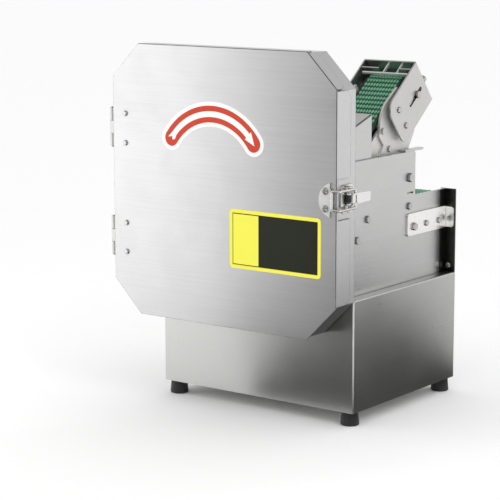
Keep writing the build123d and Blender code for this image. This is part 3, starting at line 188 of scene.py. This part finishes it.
# painted dark reflection on the bent strip between two flats that meet at an axis
def foldShadeGroup():
    group, given, put = newGroup(
        "foldShade",
        [("Vector", vectorSocket, None), ("Axis", vectorSocket, (0.0, 1.0, 0.0))],
        [("Mask", floatSocket)],
    )
    normal = group.nodes.new("ShaderNodeTexCoord").outputs["Normal"]
    lean = addNode(group, "ShaderNodeVectorMath", {0: normal, 1: given["Axis"]},
                   operation="DOT_PRODUCT")
    lean = mathNode(group, "ABSOLUTE", lean.outputs["Value"])
    # it leaves out the flats square to the axis and the face that looks along it
    offSide = mapRange(group, lean, *markSpans["offSide"])
    offFace = mapRange(group, lean, *markSpans["offFace"])
    broken = noise(group, given["Vector"], breakupScale["fold"])
    patchy = mapRange(group, broken, *markSpans["foldBreakup"])
    strip = mathNode(group, "MULTIPLY", offSide, offFace)
    group.links.new(mathNode(group, "MULTIPLY", strip, patchy, clamp=True), put["Mask"])
    return group


foldGroup = foldShadeGroup()
grainGroup = brushedGrainGroup()
cornerShadeGroup = makeCornerShadeGroup()
edgeWearAndLightGroup = makeEdgeWearAndLightGroup()
smearGroup = handlingGroup()


def placeGroup(tree, group, vector, **values):
    node = addNode(tree, "ShaderNodeGroup", node_tree=group)
    tree.links.new(vector, node.inputs["Vector"])
    for name, value in values.items():
        node.inputs[name].default_value = value
    return node.outputs


def relieve(tree, shader, height, strength, distance=0.0001):
    # a fine bump on the shader
    values = {"Strength": strength, "Distance": distance, "Height": height}
    bump = addNode(tree, "ShaderNodeBump", values)
    tree.links.new(bump.outputs[0], shader.inputs["Normal"])


def laidOver(tree, base, mask, share, colour):
    # a colour laid over the base where a mask says
    return mixColour(tree, mathNode(tree, "MULTIPLY", mask, share), base, rgba(*colour))


def startMaterial(name):
    material = bpy.data.materials.new(name)
    material.use_nodes = True
    tree = material.node_tree
    shader = tree.nodes["Principled BSDF"]
    place = tree.nodes.new("ShaderNodeTexCoord").outputs["Object"]
    return material, tree, shader, place


# sheet steel: brushed one way, duller patches, wiped smears, painted shade with some grime in corners,
# and painted light on edges and folds: dark lines on most sheets, bright edges on the base and the rear
# plate
def steelMaterial(name, colour, roughness, stretch, grain=0.08, bump=0.12, smear=0.05, edge=0.5,
                  paintedEdgeColour=(0.1, 0.1, 0.1), edgeRadius=0.0008, cornerShade=0.75, reach=0.006, fold=0.0,
                  foldAxis=(0.0, 1.0, 0.0), metallic=1.0, spread=0.03):
    material, tree, shader, place = startMaterial(name)
    lines = placeGroup(tree, grainGroup, place, Stretch=stretch)
    wearAndEdgeLight = placeGroup(tree, edgeWearAndLightGroup, place, Radius=edgeRadius)
    marks = placeGroup(tree, smearGroup, place)
    cornerShading = placeGroup(tree, cornerShadeGroup, place, Reach=reach)
    dark, light = rgba(*tinted(colour, 1 - grain)), rgba(*tinted(colour, 1 + grain * 0.6))
    wiped, cornerShadeColour, patchDull = tinted(colour, 0.72), (0.03, 0.03, 0.03), 0.03
    base = mixColour(tree, mapRange(tree, lines["Shade"], *markSpans["line"]), dark, light)
    base = laidOver(tree, base, marks["Smear"], smear, wiped)
    # painted light along the edges: a dark outline, or a bright line where the edge colour is pale
    base = laidOver(tree, base, wearAndEdgeLight["Mask"], edge, paintedEdgeColour)
    # painted shade in corners and where pieces meet
    base = laidOver(tree, base, cornerShading["Mask"], cornerShade, cornerShadeColour)
    if fold:
        # painted dark reflection along the bends
        folds = placeGroup(tree, foldGroup, place, Axis=foldAxis)
        base = laidOver(tree, base, folds["Mask"], fold, paintedEdgeColour)
    tree.links.new(base, shader.inputs["Base Color"])
    streak = mapRange(tree, lines["Shade"], 0.3, 0.7, roughness - spread, roughness + spread)
    rough = mathNode(tree, "ADD", streak, mathNode(tree, "MULTIPLY", lines["Patch"], patchDull))
    rough = mathNode(tree, "ADD", rough, mathNode(tree, "MULTIPLY", marks["Smear"], smear), clamp=True)
    tree.links.new(rough, shader.inputs["Roughness"])
    shader.inputs["Metallic"].default_value = metallic
    relieve(tree, shader, lines["Height"], bump)
    return material


# turned, drawn or plated bright metal
def turnedMaterial(name, colour, roughness, ringScale=1400.0, bump=0.12, reach=0.004):
    material, tree, shader, place = startMaterial(name)
    wearAndEdgeLight = placeGroup(tree, edgeWearAndLightGroup, place, Radius=0.0004, Breakup=500.0)
    marks = placeGroup(tree, smearGroup, place, **{"Smear Scale": 60.0})
    cornerShading = placeGroup(tree, cornerShadeGroup, place, Reach=reach)
    wiped, rubbedAndHighlitEdge, cornerShadeColour = tinted(colour, 0.7), tinted(colour, 1.3, 0.05), (0.02, 0.02, 0.02)
    base = laidOver(tree, rgba(*colour), marks["Smear"], 0.35, wiped)
    # rubbed edges, lighter
    base = laidOver(tree, base, wearAndEdgeLight["Mask"], 0.5, rubbedAndHighlitEdge)
    # painted shade in corners and where pieces meet
    base = laidOver(tree, base, cornerShading["Mask"], 0.85, cornerShadeColour)
    tree.links.new(base, shader.inputs["Base Color"])
    rough = mapRange(tree, marks["Smear"], 0.0, 1.0, roughness, roughness + 0.14)
    tree.links.new(rough, shader.inputs["Roughness"])
    shader.inputs["Metallic"].default_value = 1.0
    relieve(tree, shader, noise(tree, place, ringScale), bump, 0.00005)
    return material


# moulded rubber, plastic and enamel
def mouldedMaterial(name, colour, roughness, grainScale=900.0, bump=0.15, tint=0.12, coat=0.0,
                    paintedEdgeColour=None):
    material, tree, shader, place = startMaterial(name)
    wearAndEdgeLight = placeGroup(tree, edgeWearAndLightGroup, place, Radius=0.0006, Breakup=300.0)
    marks = placeGroup(tree, smearGroup, place, **{"Smear Scale": 45.0})
    # rubbed edges, lighter; a given edge colour is a painted highlight, as on the belt lumps
    bloom, rubbedAndHighlitEdge = tinted(colour, 1.5, 0.03), paintedEdgeColour or tinted(colour, 1.8, 0.04)
    base = laidOver(tree, rgba(*colour), marks["Smear"], tint, bloom)
    base = laidOver(tree, base, wearAndEdgeLight["Mask"], 0.5, rubbedAndHighlitEdge)
    tree.links.new(base, shader.inputs["Base Color"])
    rough = mapRange(tree, marks["Smear"], 0.0, 1.0, roughness, min(1.0, roughness + 0.12))
    tree.links.new(rough, shader.inputs["Roughness"])
    shader.inputs["Coat Weight"].default_value = coat
    relieve(tree, shader, noise(tree, place, grainScale, 3.0), bump)
    return material


# the brushed lines run along one axis: slow changes along it, fine ones across
slow, fine = 10.0, 1300.0
alongX, alongY, alongZ = (slow, fine, fine), (fine, slow, fine), (fine, fine, slow)
finishes = {
    # door: painted dark outline along its edges and painted dark reflection along its bends
    "doorSteel": steelMaterial("doorSteel", (0.64, 0.64, 0.64), 0.34, alongX, grain=0.05, bump=0.08,
                               edge=0.85, paintedEdgeColour=(0.05, 0.05, 0.05), edgeRadius=0.0016, reach=0.004,
                               fold=0.9),
    "panelSteel": steelMaterial("panelSteel", (0.6, 0.598, 0.595), 0.28, alongY, grain=0.03, bump=0.06,
                                edgeRadius=0.001, reach=0.003),
    # hood: painted dark outline along its edges and painted dark reflection along its bends
    "hoodSteel": steelMaterial("hoodSteel", (0.6, 0.598, 0.595), 0.28, alongY, grain=0.03, bump=0.06,
                               reach=0.003, fold=0.85, foldAxis=(1.0, 0.0, 0.0)),
    # base: painted bright line along its edges
    "baseSteel": steelMaterial("baseSteel", (0.6, 0.6, 0.585), 0.28, alongY, grain=0.02, bump=0.01,
                               smear=0.02, paintedEdgeColour=(0.75, 0.75, 0.74), spread=0.012),
    # rear plate: near-black painted shade for a plate that stands in shadow, with painted bright lines on
    # its edges
    "rearSteelPaintedShade": steelMaterial("rearSteelPaintedShade", (0.05, 0.049, 0.048), 0.28, alongX, grain=0.2, edge=0.3,
                                paintedEdgeColour=(0.3, 0.3, 0.3)),
    "bracketSteel": steelMaterial("bracketSteel", (0.95, 0.94, 0.92), 0.26, alongY, grain=0.03, bump=0.05,
                                  cornerShade=0.3, reach=0.003),
    "latchSteel": steelMaterial("latchSteel", (0.84, 0.83, 0.81), 0.24, alongY, grain=0.03, bump=0.05,
                                edge=0.8, edgeRadius=0.0006, cornerShade=0.85, reach=0.003),
    "keeperSteel": steelMaterial("keeperSteel", (0.93, 0.93, 0.91), 0.5, alongZ, grain=0.03, bump=0.05,
                                 reach=0.002),
    # press frame: strong painted shade deep in its recess
    "pressSteel": steelMaterial("pressSteel", (0.62, 0.615, 0.6), 0.3, alongY, grain=0.03, edge=0.7,
                                cornerShade=0.8, reach=0.008),
    "linkSteel": steelMaterial("linkSteel", (0.66, 0.655, 0.64), 0.4, alongY, grain=0.03, edge=0.7,
                               cornerShade=0.2, reach=0.003, metallic=0.55),
    "boltSteel": turnedMaterial("boltSteel", (0.56, 0.555, 0.55), 0.2),
    "cutterSteel": turnedMaterial("cutterSteel", (0.7, 0.71, 0.72), 0.16, ringScale=600.0),
    "springSteel": turnedMaterial("springSteel", (0.09, 0.09, 0.09), 0.3),
    "turnedAlloy": turnedMaterial("turnedAlloy", (0.68, 0.68, 0.69), 0.3),
    "pulleyIron": turnedMaterial("pulleyIron", (0.16, 0.16, 0.16), 0.4, ringScale=500.0, bump=0.3),
    "footRubber": mouldedMaterial("footRubber", (0.012, 0.012, 0.012), 0.5),
    "beltRubber": mouldedMaterial("beltRubber", (0.02, 0.02, 0.02), 0.6),
    # one green rubber in two copies: painted in shade for the belt bodies and the pits between the lumps,
    # painted lit for the lumps, with a painted highlight on their edges
    "beltGreenPaintedShade": mouldedMaterial("beltGreenPaintedShade", (0.01, 0.042, 0.024), 0.6, grainScale=700.0, bump=0.5,
                                 tint=0.1),
    "beltGreenPaintedLit": mouldedMaterial("beltGreenPaintedLit", (0.145, 0.41, 0.245), 0.42, grainScale=900.0, bump=0.4,
                               tint=0.3, paintedEdgeColour=(0.2, 0.46, 0.3)),
    "bearingPlastic": mouldedMaterial("bearingPlastic", (0.78, 0.78, 0.75), 0.45),
    "motorEnamel": mouldedMaterial("motorEnamel", (0.12, 0.16, 0.22), 0.4, coat=0.2),
    "buttonGreen": mouldedMaterial("buttonGreen", (0.02, 0.3, 0.08), 0.22, coat=0.5),
    "buttonRed": mouldedMaterial("buttonRed", (0.5, 0.015, 0.015), 0.22, coat=0.5),
    "knobBlack": mouldedMaterial("knobBlack", (0.02, 0.02, 0.02), 0.42),
}
nodeFinish = {
    "baseSteel": ["base_cabinet", "base_floor"],
    "doorSteel": ["door_panel", "cutter_housing"],
    "panelSteel": ["panel_right", "panel_left", "conveyor_bed", "press_bed", "drive_casing",
                   "casing_rear_cover", "stop_strip"],
    "rearSteelPaintedShade": ["rear_plate"],
    "bracketSteel": ["corner_bracket"],
    "latchSteel": ["latch_base", "latch_lever", "latch_bail"],
    "hoodSteel": ["throat_hood"],
    "keeperSteel": ["latch_keeper"],
    "pressSteel": ["press_frame"],
    "linkSteel": ["link_plates", "press_side_bar", "hinge_leaves_door", "hinge_leaves_fixed",
                  "press_tensioner"],
    "boltSteel": ["channel_bolts", "door_screws", "feet_screws", "hinge_and_latch_pins", "housing_screws",
                  "hub_bolts", "pivot_bolts", "press_axles", "press_screws", "spindle_bearings",
                  "control_bezels", "spindle_shaft", "motor_shaft"],
    "cutterSteel": ["cutter_blades", "dicing_grid"],
    "springSteel": ["latch_spring"],
    "turnedAlloy": ["cutter_hub", "spindle_housing", "infeed_roller_front", "infeed_roller_rear",
                    "press_roller_nose", "press_roller_tail"],
    "pulleyIron": ["motor_pulley", "spindle_pulley"],
    "footRubber": ["rubber_feet"],
    "beltRubber": ["drive_belt"],
    # belt bodies take the copy of the green painted in shade
    "beltGreenPaintedShade": ["infeed_belt", "press_belt"],
    "bearingPlastic": ["roller_bearings"],
    "motorEnamel": ["drive_motor", "feed_motor"],
    "buttonGreen": ["start_button"],
    "buttonRed": ["stop_button", "emergency_button"],
    "knobBlack": ["speed_knob", "cable_gland"],
}
for finish, names in nodeFinish.items():
    for name in names:
        mesh = nodes[name].data
        mesh.materials.clear()
        mesh.materials.append(finishes[finish])
missing = sorted(set(nodes) - {n for names in nodeFinish.values() for n in names})
print("finishes set; left over:", missing)


def placed(name, mesh):
    piece = bpy.data.objects.new(name, mesh)
    bpy.context.scene.collection.objects.link(piece)
    return piece


def closedMesh(name, build):
    # a mesh from a finished bmesh, with its faces turned outwards
    mesh = bpy.data.meshes.new(name)
    bmesh.ops.recalc_face_normals(build, faces=build.faces)
    build.to_mesh(mesh)
    build.free()
    return mesh


def flatShape(name, points, low, high, material, body):
    # a closed outline in (x, z), given thickness between two depths and ridden on a body
    build = bmesh.new()
    front = [build.verts.new((x, low, z)) for x, z in points]
    back = [build.verts.new((x, high, z)) for x, z in points]
    build.faces.new(front)
    build.faces.new(back[::-1])
    for k in range(len(points)):
        build.faces.new((front[k], back[k], back[k - 1], front[k - 1]))
    mesh = closedMesh(name, build)
    mesh.materials.append(material)
    piece = placed(name, mesh)
    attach(piece, body)


def sweep(start, end, steps):
    return [start + (end - start) * k / steps for k in range(steps + 1)]


def onCircle(centre, radius, degrees):
    a = math.radians(degrees)
    return (centre[0] + radius * math.cos(a), centre[1] + radius * math.sin(a))


def filmMaterial(name, colour, roughness=0.5):
    # printed vinyl: a soft mottle in the ink and fine orange peel
    material = mouldedMaterial(name, colour, roughness, grainScale=1500.0, bump=0.06, tint=0.06)
    material.node_tree.nodes["Principled BSDF"].inputs["Specular IOR Level"].default_value = 0.25
    return material


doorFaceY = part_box("door_panel")[0][1]
print("door face at", round(doorFaceY, 4))

# the arc that shows which way the cutter turns: angles in degrees, the rest in metres; each corner
# of the notched tail is so far past the arc's end and so far out from its middle line
turnArrow = {
    "centre": (-0.0347, 0.3022), "radius": 0.0788, "half": 0.0104, "border": 0.0052,
    "from": 35.5, "to": 145.0, "steps": 40, "capSteps": 14, "film": 0.00014,
    "tipPast": 0.003, "headLong": 0.0160, "headHalf": 0.0066, "shaftHalf": 0.0036, "shaftSteps": 36,
    "tailLong": 0.0085, "tail": ((-0.002, -0.0052), (0.001, -0.002), (-0.0025, 0.0), (0.002, 0.0052)),
    "red": (0.6, 0.053, 0.022), "white": (0.9, 0.9, 0.89),
}


def arcPoint(angle, radius):
    return onCircle(turnArrow["centre"], radius, angle)


def arcBand(grow):
    # the arc's band with round ends, grown by a margin
    half, radius = turnArrow["half"] + grow, turnArrow["radius"]
    first, last, steps = turnArrow["from"], turnArrow["to"], turnArrow["steps"]

    def cap(end, start):
        turn = sweep(start, start + 180, turnArrow["capSteps"])[1:-1]
        return [onCircle(arcPoint(end, radius), half, angle) for angle in turn]

    outer = [arcPoint(angle, radius + half) for angle in sweep(first, last, steps)]
    inner = [arcPoint(angle, radius - half) for angle in sweep(last, first, steps)]
    return outer + cap(last, last) + inner + cap(first, first + 180)


def arcArrow():
    # a long head at the right end, a small notched tail at the left
    radius, shaft, steps = turnArrow["radius"], turnArrow["shaftHalf"], turnArrow["shaftSteps"]

    def spanned(length):
        # the angle of a length along the arc
        return math.degrees(length / radius)

    tip, last = turnArrow["from"] - spanned(turnArrow["tipPast"]), turnArrow["to"]
    head, tail = tip + spanned(turnArrow["headLong"]), last - spanned(turnArrow["tailLong"])
    points = [arcPoint(tip, radius), arcPoint(head, radius - turnArrow["headHalf"])]
    points += [arcPoint(angle, radius - shaft) for angle in sweep(head, tail, steps)]
    points += [arcPoint(last + spanned(past), radius + out) for past, out in turnArrow["tail"]]
    points += [arcPoint(angle, radius + shaft) for angle in sweep(tail, head, steps)]
    return points + [arcPoint(head, radius + turnArrow["headHalf"])]


film = turnArrow["film"]
arrowWhite = filmMaterial("arrowWhite", turnArrow["white"])
arrowRed = filmMaterial("arrowRed", turnArrow["red"])
# each layer's front and rear, in films ahead of the door's face
for name, points, front, rear, material in (
    ("turnArrowBacking", arcBand(turnArrow["border"]), 1, -1, arrowWhite),
    ("turnArrowBand", arcBand(0.0), 2, 0.5, arrowRed),
    ("turnArrowShaft", arcArrow(), 3, 1.5, arrowWhite),
):
    flatShape(name, points, doorFaceY - front * film, doorFaceY - rear * film, material, "door")
print("turn arrow placed")

# a blank two-colour notice plate below it
noticePlate = {
    "left": -0.0075, "right": 0.130, "low": 0.1915, "high": 0.2655, "corner": 0.005,
    "leastCorner": 0.0006, "cornerSteps": 8, "edge": 0.0046, "line": 0.0011, "split": 0.040,
    "film": 0.00016,
    "yellow": (0.89, 0.85, 0.09), "dark": (0.015, 0.019, 0.009), "ink": (0.008, 0.008, 0.008),
}


def roundedRectangle(x0, x1, z0, z1, radius):
    points, steps = [], noticePlate["cornerSteps"]
    for cx, cz, start in ((x1 - radius, z1 - radius, 0), (x0 + radius, z1 - radius, 90),
                          (x0 + radius, z0 + radius, 180), (x1 - radius, z0 + radius, 270)):
        points += [onCircle((cx, cz), radius, angle) for angle in sweep(start, start + 90, steps)]
    return points


def noticeLayer(name, inset, x0, x1, step, material):
    film, corner = noticePlate["film"], max(noticePlate["leastCorner"], noticePlate["corner"] - inset)
    points = roundedRectangle(x0, x1, noticePlate["low"] + inset, noticePlate["high"] - inset, corner)
    flatShape(name, points, doorFaceY - step * film, doorFaceY + film, material, "door")


left, right = noticePlate["left"], noticePlate["right"]
edge, line = noticePlate["edge"], noticePlate["line"]
yellowFilm = filmMaterial("noticeYellow", noticePlate["yellow"])
darkFilm = filmMaterial("noticeDark", noticePlate["dark"])
inkFilm = filmMaterial("noticeInk", noticePlate["ink"])
split = left + edge + noticePlate["split"]
noticeLayer("noticePlate", 0.0, left, right, 1, yellowFilm)
noticeLayer("noticeLine", edge, left + edge, right - edge, 2, inkFilm)
noticeLayer("noticeYellowField", edge + line, left + edge + line, split, 3, yellowFilm)
noticeLayer("noticeDarkField", edge + line, split, right - edge - line, 3, darkFilm)
print("notice plate placed")

# rough top of the two belts: rows of low pointed lumps, and a pit wherever four of them meet;
# each ring gives its share of the lump's size and of its height
roughTop = {
    "rowPitch": 0.008, "lumpPitch": 0.0044, "lumpLong": 0.0079, "lumpWide": 0.0039, "waist": 0.1,
    "high": 0.0015, "least": 0.8, "sunk": 0.0003, "sideMargin": 0.001, "seed": 7,
    "rings": ((0.82, 0.62), (0.4, 1.0)),
}


def beltLumps(name, firstAxis, lastAxis, radius, x0, x1, body):
    # first and last axes in (y, z); lumps follow the loop round them
    run = Vector((lastAxis[0] - firstAxis[0], lastAxis[1] - firstAxis[1]))
    span = run.length
    along = run / span
    up = Vector((-along.y, along.x))
    arc = math.pi * radius
    loop = 2 * span + 2 * arc
    rows = round(loop / roughTop["rowPitch"])
    pitch, waist = roughTop["lumpPitch"], roughTop["waist"]
    across = int((x1 - x0 - 2 * roughTop["sideMargin"]) / pitch)
    margin = (x1 - x0 - (across - 1) * pitch) / 2
    outline = [(0.0, 0.5), (0.5, waist), (0.5, -waist), (0.0, -0.5), (-0.5, -waist), (-0.5, waist)]
    sides = len(outline)
    build = bmesh.new()
    chance = random.Random(roughTop["seed"])

    def frameAt(s):
        # place, running direction and outward direction at a distance round the loop
        first, last = Vector(firstAxis), Vector(lastAxis)
        if s < span:
            return first + along * s + up * radius, along, up
        if s < span + arc:
            a = (s - span) / radius
            out = up * math.cos(a) + along * math.sin(a)
            return last + out * radius, along * math.cos(a) - up * math.sin(a), out
        if s < 2 * span + arc:
            return last - along * (s - span - arc) - up * radius, -along, -up
        a = (s - 2 * span - arc) / radius
        out = -up * math.cos(a) - along * math.sin(a)
        return first + out * radius, -along * math.cos(a) + up * math.sin(a), out

    for row in range(rows):
        place, forward, out = frameAt(row * loop / rows)
        for k in range(across):
            x = x0 + margin + k * pitch
            rise = roughTop["high"] * chance.uniform(roughTop["least"], 1.0)
            levels = [(1.0, -roughTop["sunk"])]
            levels += [(scale, rise * share) for scale, share in roughTop["rings"]]
            rings = []
            for scale, height in levels:
                ring = []
                for wide, long in outline:
                    at = place + forward * long * roughTop["lumpLong"] * scale + out * height
                    ring.append(build.verts.new((x + wide * roughTop["lumpWide"] * scale, at.x, at.y)))
                rings.append(ring)
            for low, high in zip(rings, rings[1:]):
                for c in range(sides):
                    build.faces.new((low[c], low[(c + 1) % sides], high[(c + 1) % sides], high[c]))
            build.faces.new(rings[-1])
    mesh = closedMesh(name, build)
    for face in mesh.polygons:
        face.use_smooth = True
    # the lumps take the copy of the belt green painted lit
    mesh.materials.append(finishes["beltGreenPaintedLit"])
    piece = placed(name, mesh)
    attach(piece, body)


def rollerAxis(node):
    # a roller's axis in (y, z), from the middle of its box
    low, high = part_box(node)
    return ((low[1] + high[1]) / 2, (low[2] + high[2]) / 2)


def beltRadius(node, axes):
    # outer radius of a belt that runs level with, or at a slant to, two equal rollers
    low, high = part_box(node)
    return min(axes[0][1], axes[1][1]) - low[2]


beltRuns = (
    ("infeedBeltTop", "infeed_belt", ("infeed_roller_front", "infeed_roller_rear"), "root"),
    ("pressBeltTop", "press_belt", ("press_roller_nose", "press_roller_tail"), "press_arm"),
)
for name, belt, rollers, body in beltRuns:
    axes = [rollerAxis(roller) for roller in rollers]
    low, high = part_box(belt)
    beltLumps(name, axes[0], axes[1], beltRadius(belt, axes), low[0], high[0], body)
print("belt tops placed")


def plainMaterial(name, colour, roughness):
    material = startMaterial(name)[0]
    inputs = material.node_tree.nodes["Principled BSDF"].inputs
    inputs["Base Color"].default_value = rgba(*colour)
    inputs["Roughness"].default_value = roughness
    return material


# white floor and a sky that polished steel sees darker overhead
stage = {
    "floorColour": (0.985, 0.985, 0.985), "floorRoughness": 0.9, "floorHalf": 30,
    "worldLight": 1.0, "horizon": 1.0, "zenith": 0.5, "lowest": 0.1, "highest": 0.8,
}
half = stage["floorHalf"]
floorMesh = bpy.data.meshes.new("floor")
corners = [(-half, -half, 0), (half, -half, 0), (half, half, 0), (-half, half, 0)]
floorMesh.from_pydata(corners, [], [(0, 1, 2, 3)])
floor = placed("floor", floorMesh)
floorMesh.materials.append(plainMaterial("floorWhite", stage["floorColour"], stage["floorRoughness"]))

world = bpy.data.worlds.new("studio")
bpy.context.scene.world = world
world.use_nodes = True
worldTree = world.node_tree
background = worldTree.nodes["Background"]
path = worldTree.nodes.new("ShaderNodeLightPath")
direction = worldTree.nodes.new("ShaderNodeTexCoord").outputs["Generated"]
height = addNode(worldTree, "ShaderNodeSeparateXYZ", {0: direction}).outputs["Z"]
sky = mapRange(worldTree, height, stage["lowest"], stage["highest"], stage["horizon"], stage["zenith"])
plain = mathNode(worldTree, "SUBTRACT", 1.0, path.outputs["Is Glossy Ray"])
level = mathNode(worldTree, "MAXIMUM", sky, mathNode(worldTree, "MULTIPLY", plain, stage["worldLight"]))
background.inputs["Color"].default_value = rgba(1.0, 1.0, 1.0)
worldTree.links.new(level, background.inputs["Strength"])


def aimed(item, place, forward, roll=0.0):
    # put a lamp or camera in place, looking along a direction, turned in degrees about it
    item.location = place
    item.rotation_mode = "QUATERNION"
    level = Vector(forward).to_track_quat("-Z", "Y")
    item.rotation_quaternion = level @ Matrix.Rotation(math.radians(roll), 4, "Z").to_quaternion()


def softLamp(name, place, target, width, height, power):
    data = bpy.data.lights.new(name, "AREA")
    data.shape = "RECTANGLE"
    data.size, data.size_y, data.energy = width, height, power
    aimed(placed(name, data), place, Vector(target) - Vector(place))


def darkCard(name, corners, tone):
    # a card that only the bright metal shows
    mesh = bpy.data.meshes.new(name)
    mesh.from_pydata(corners, [], [(0, 1, 2, 3)])
    card = placed(name, mesh)
    card.visible_camera = card.visible_diffuse = card.visible_shadow = False
    material = plainMaterial(name, (tone, tone, tone), 1.0)
    material.node_tree.nodes["Principled BSDF"].inputs["Specular IOR Level"].default_value = 0.0
    mesh.materials.append(material)


# lamps: place, what they face, width, height and power
lamps = {
    "keyLamp": ((-0.74, -0.6, 0.35), (-0.1, -0.16, 0.3), 0.7, 0.8, 1.2),
    "rightLamp": ((1.3, -0.5, 1.2), (0.05, 0, 0.25), 0.6, 0.6, 3),
}
for name, given in lamps.items():
    softLamp(name, *given)
# cards: where each one stands or lies, and how light it is
cards = {
    "doorCard": ([(-0.27, -0.6, 0.0), (0.1, -0.6, 0.0), (0.1, -0.6, 0.55), (-0.27, -0.6, 0.55)], 0.33),
    "sideCard": ([(0.16, -0.25, 0.003), (0.8, 0.51, 0.003), (0.8, 0.9, 0.003), (0.16, 0.18, 0.003)],
                 0.02),
    "greyCard": ([(0.16, 0.18, 0.003), (0.8, 0.9, 0.003), (0.8, 1.25, 0.003), (0.16, 0.5, 0.003)],
                 0.72),
    "frontCard": ([(-0.04, -0.17, 0.003), (-0.37, -0.66, 0.003), (0.07, -0.66, 0.003),
                   (0.3, -0.17, 0.003)], 0.01),
    "lensCard": ([(0.3, -2.9, 0.1), (2.6, -0.9, 0.1), (2.6, -0.9, 1.4), (0.3, -2.9, 1.4)], 0.02),
}
for name, (corners, tone) in cards.items():
    darkCard(name, corners, tone)

view = {
    "lens": 132.74, "sensor": 36.0, "near": 0.05, "far": 60.0, "place": (1.36848, -1.95624, 0.61557),
    "forward": (-0.59083, 0.78750, -0.17538), "roll": -0.09,
}
cameraData = bpy.data.cameras.new("camera")
cameraData.lens, cameraData.sensor_width = view["lens"], view["sensor"]
cameraData.clip_start, cameraData.clip_end = view["near"], view["far"]
camera = placed("camera", cameraData)
aimed(camera, view["place"], view["forward"], view["roll"])
bpy.context.scene.camera = camera
bpy.context.scene.view_settings.view_transform = "Standard"
print("stage, lamps and camera placed")
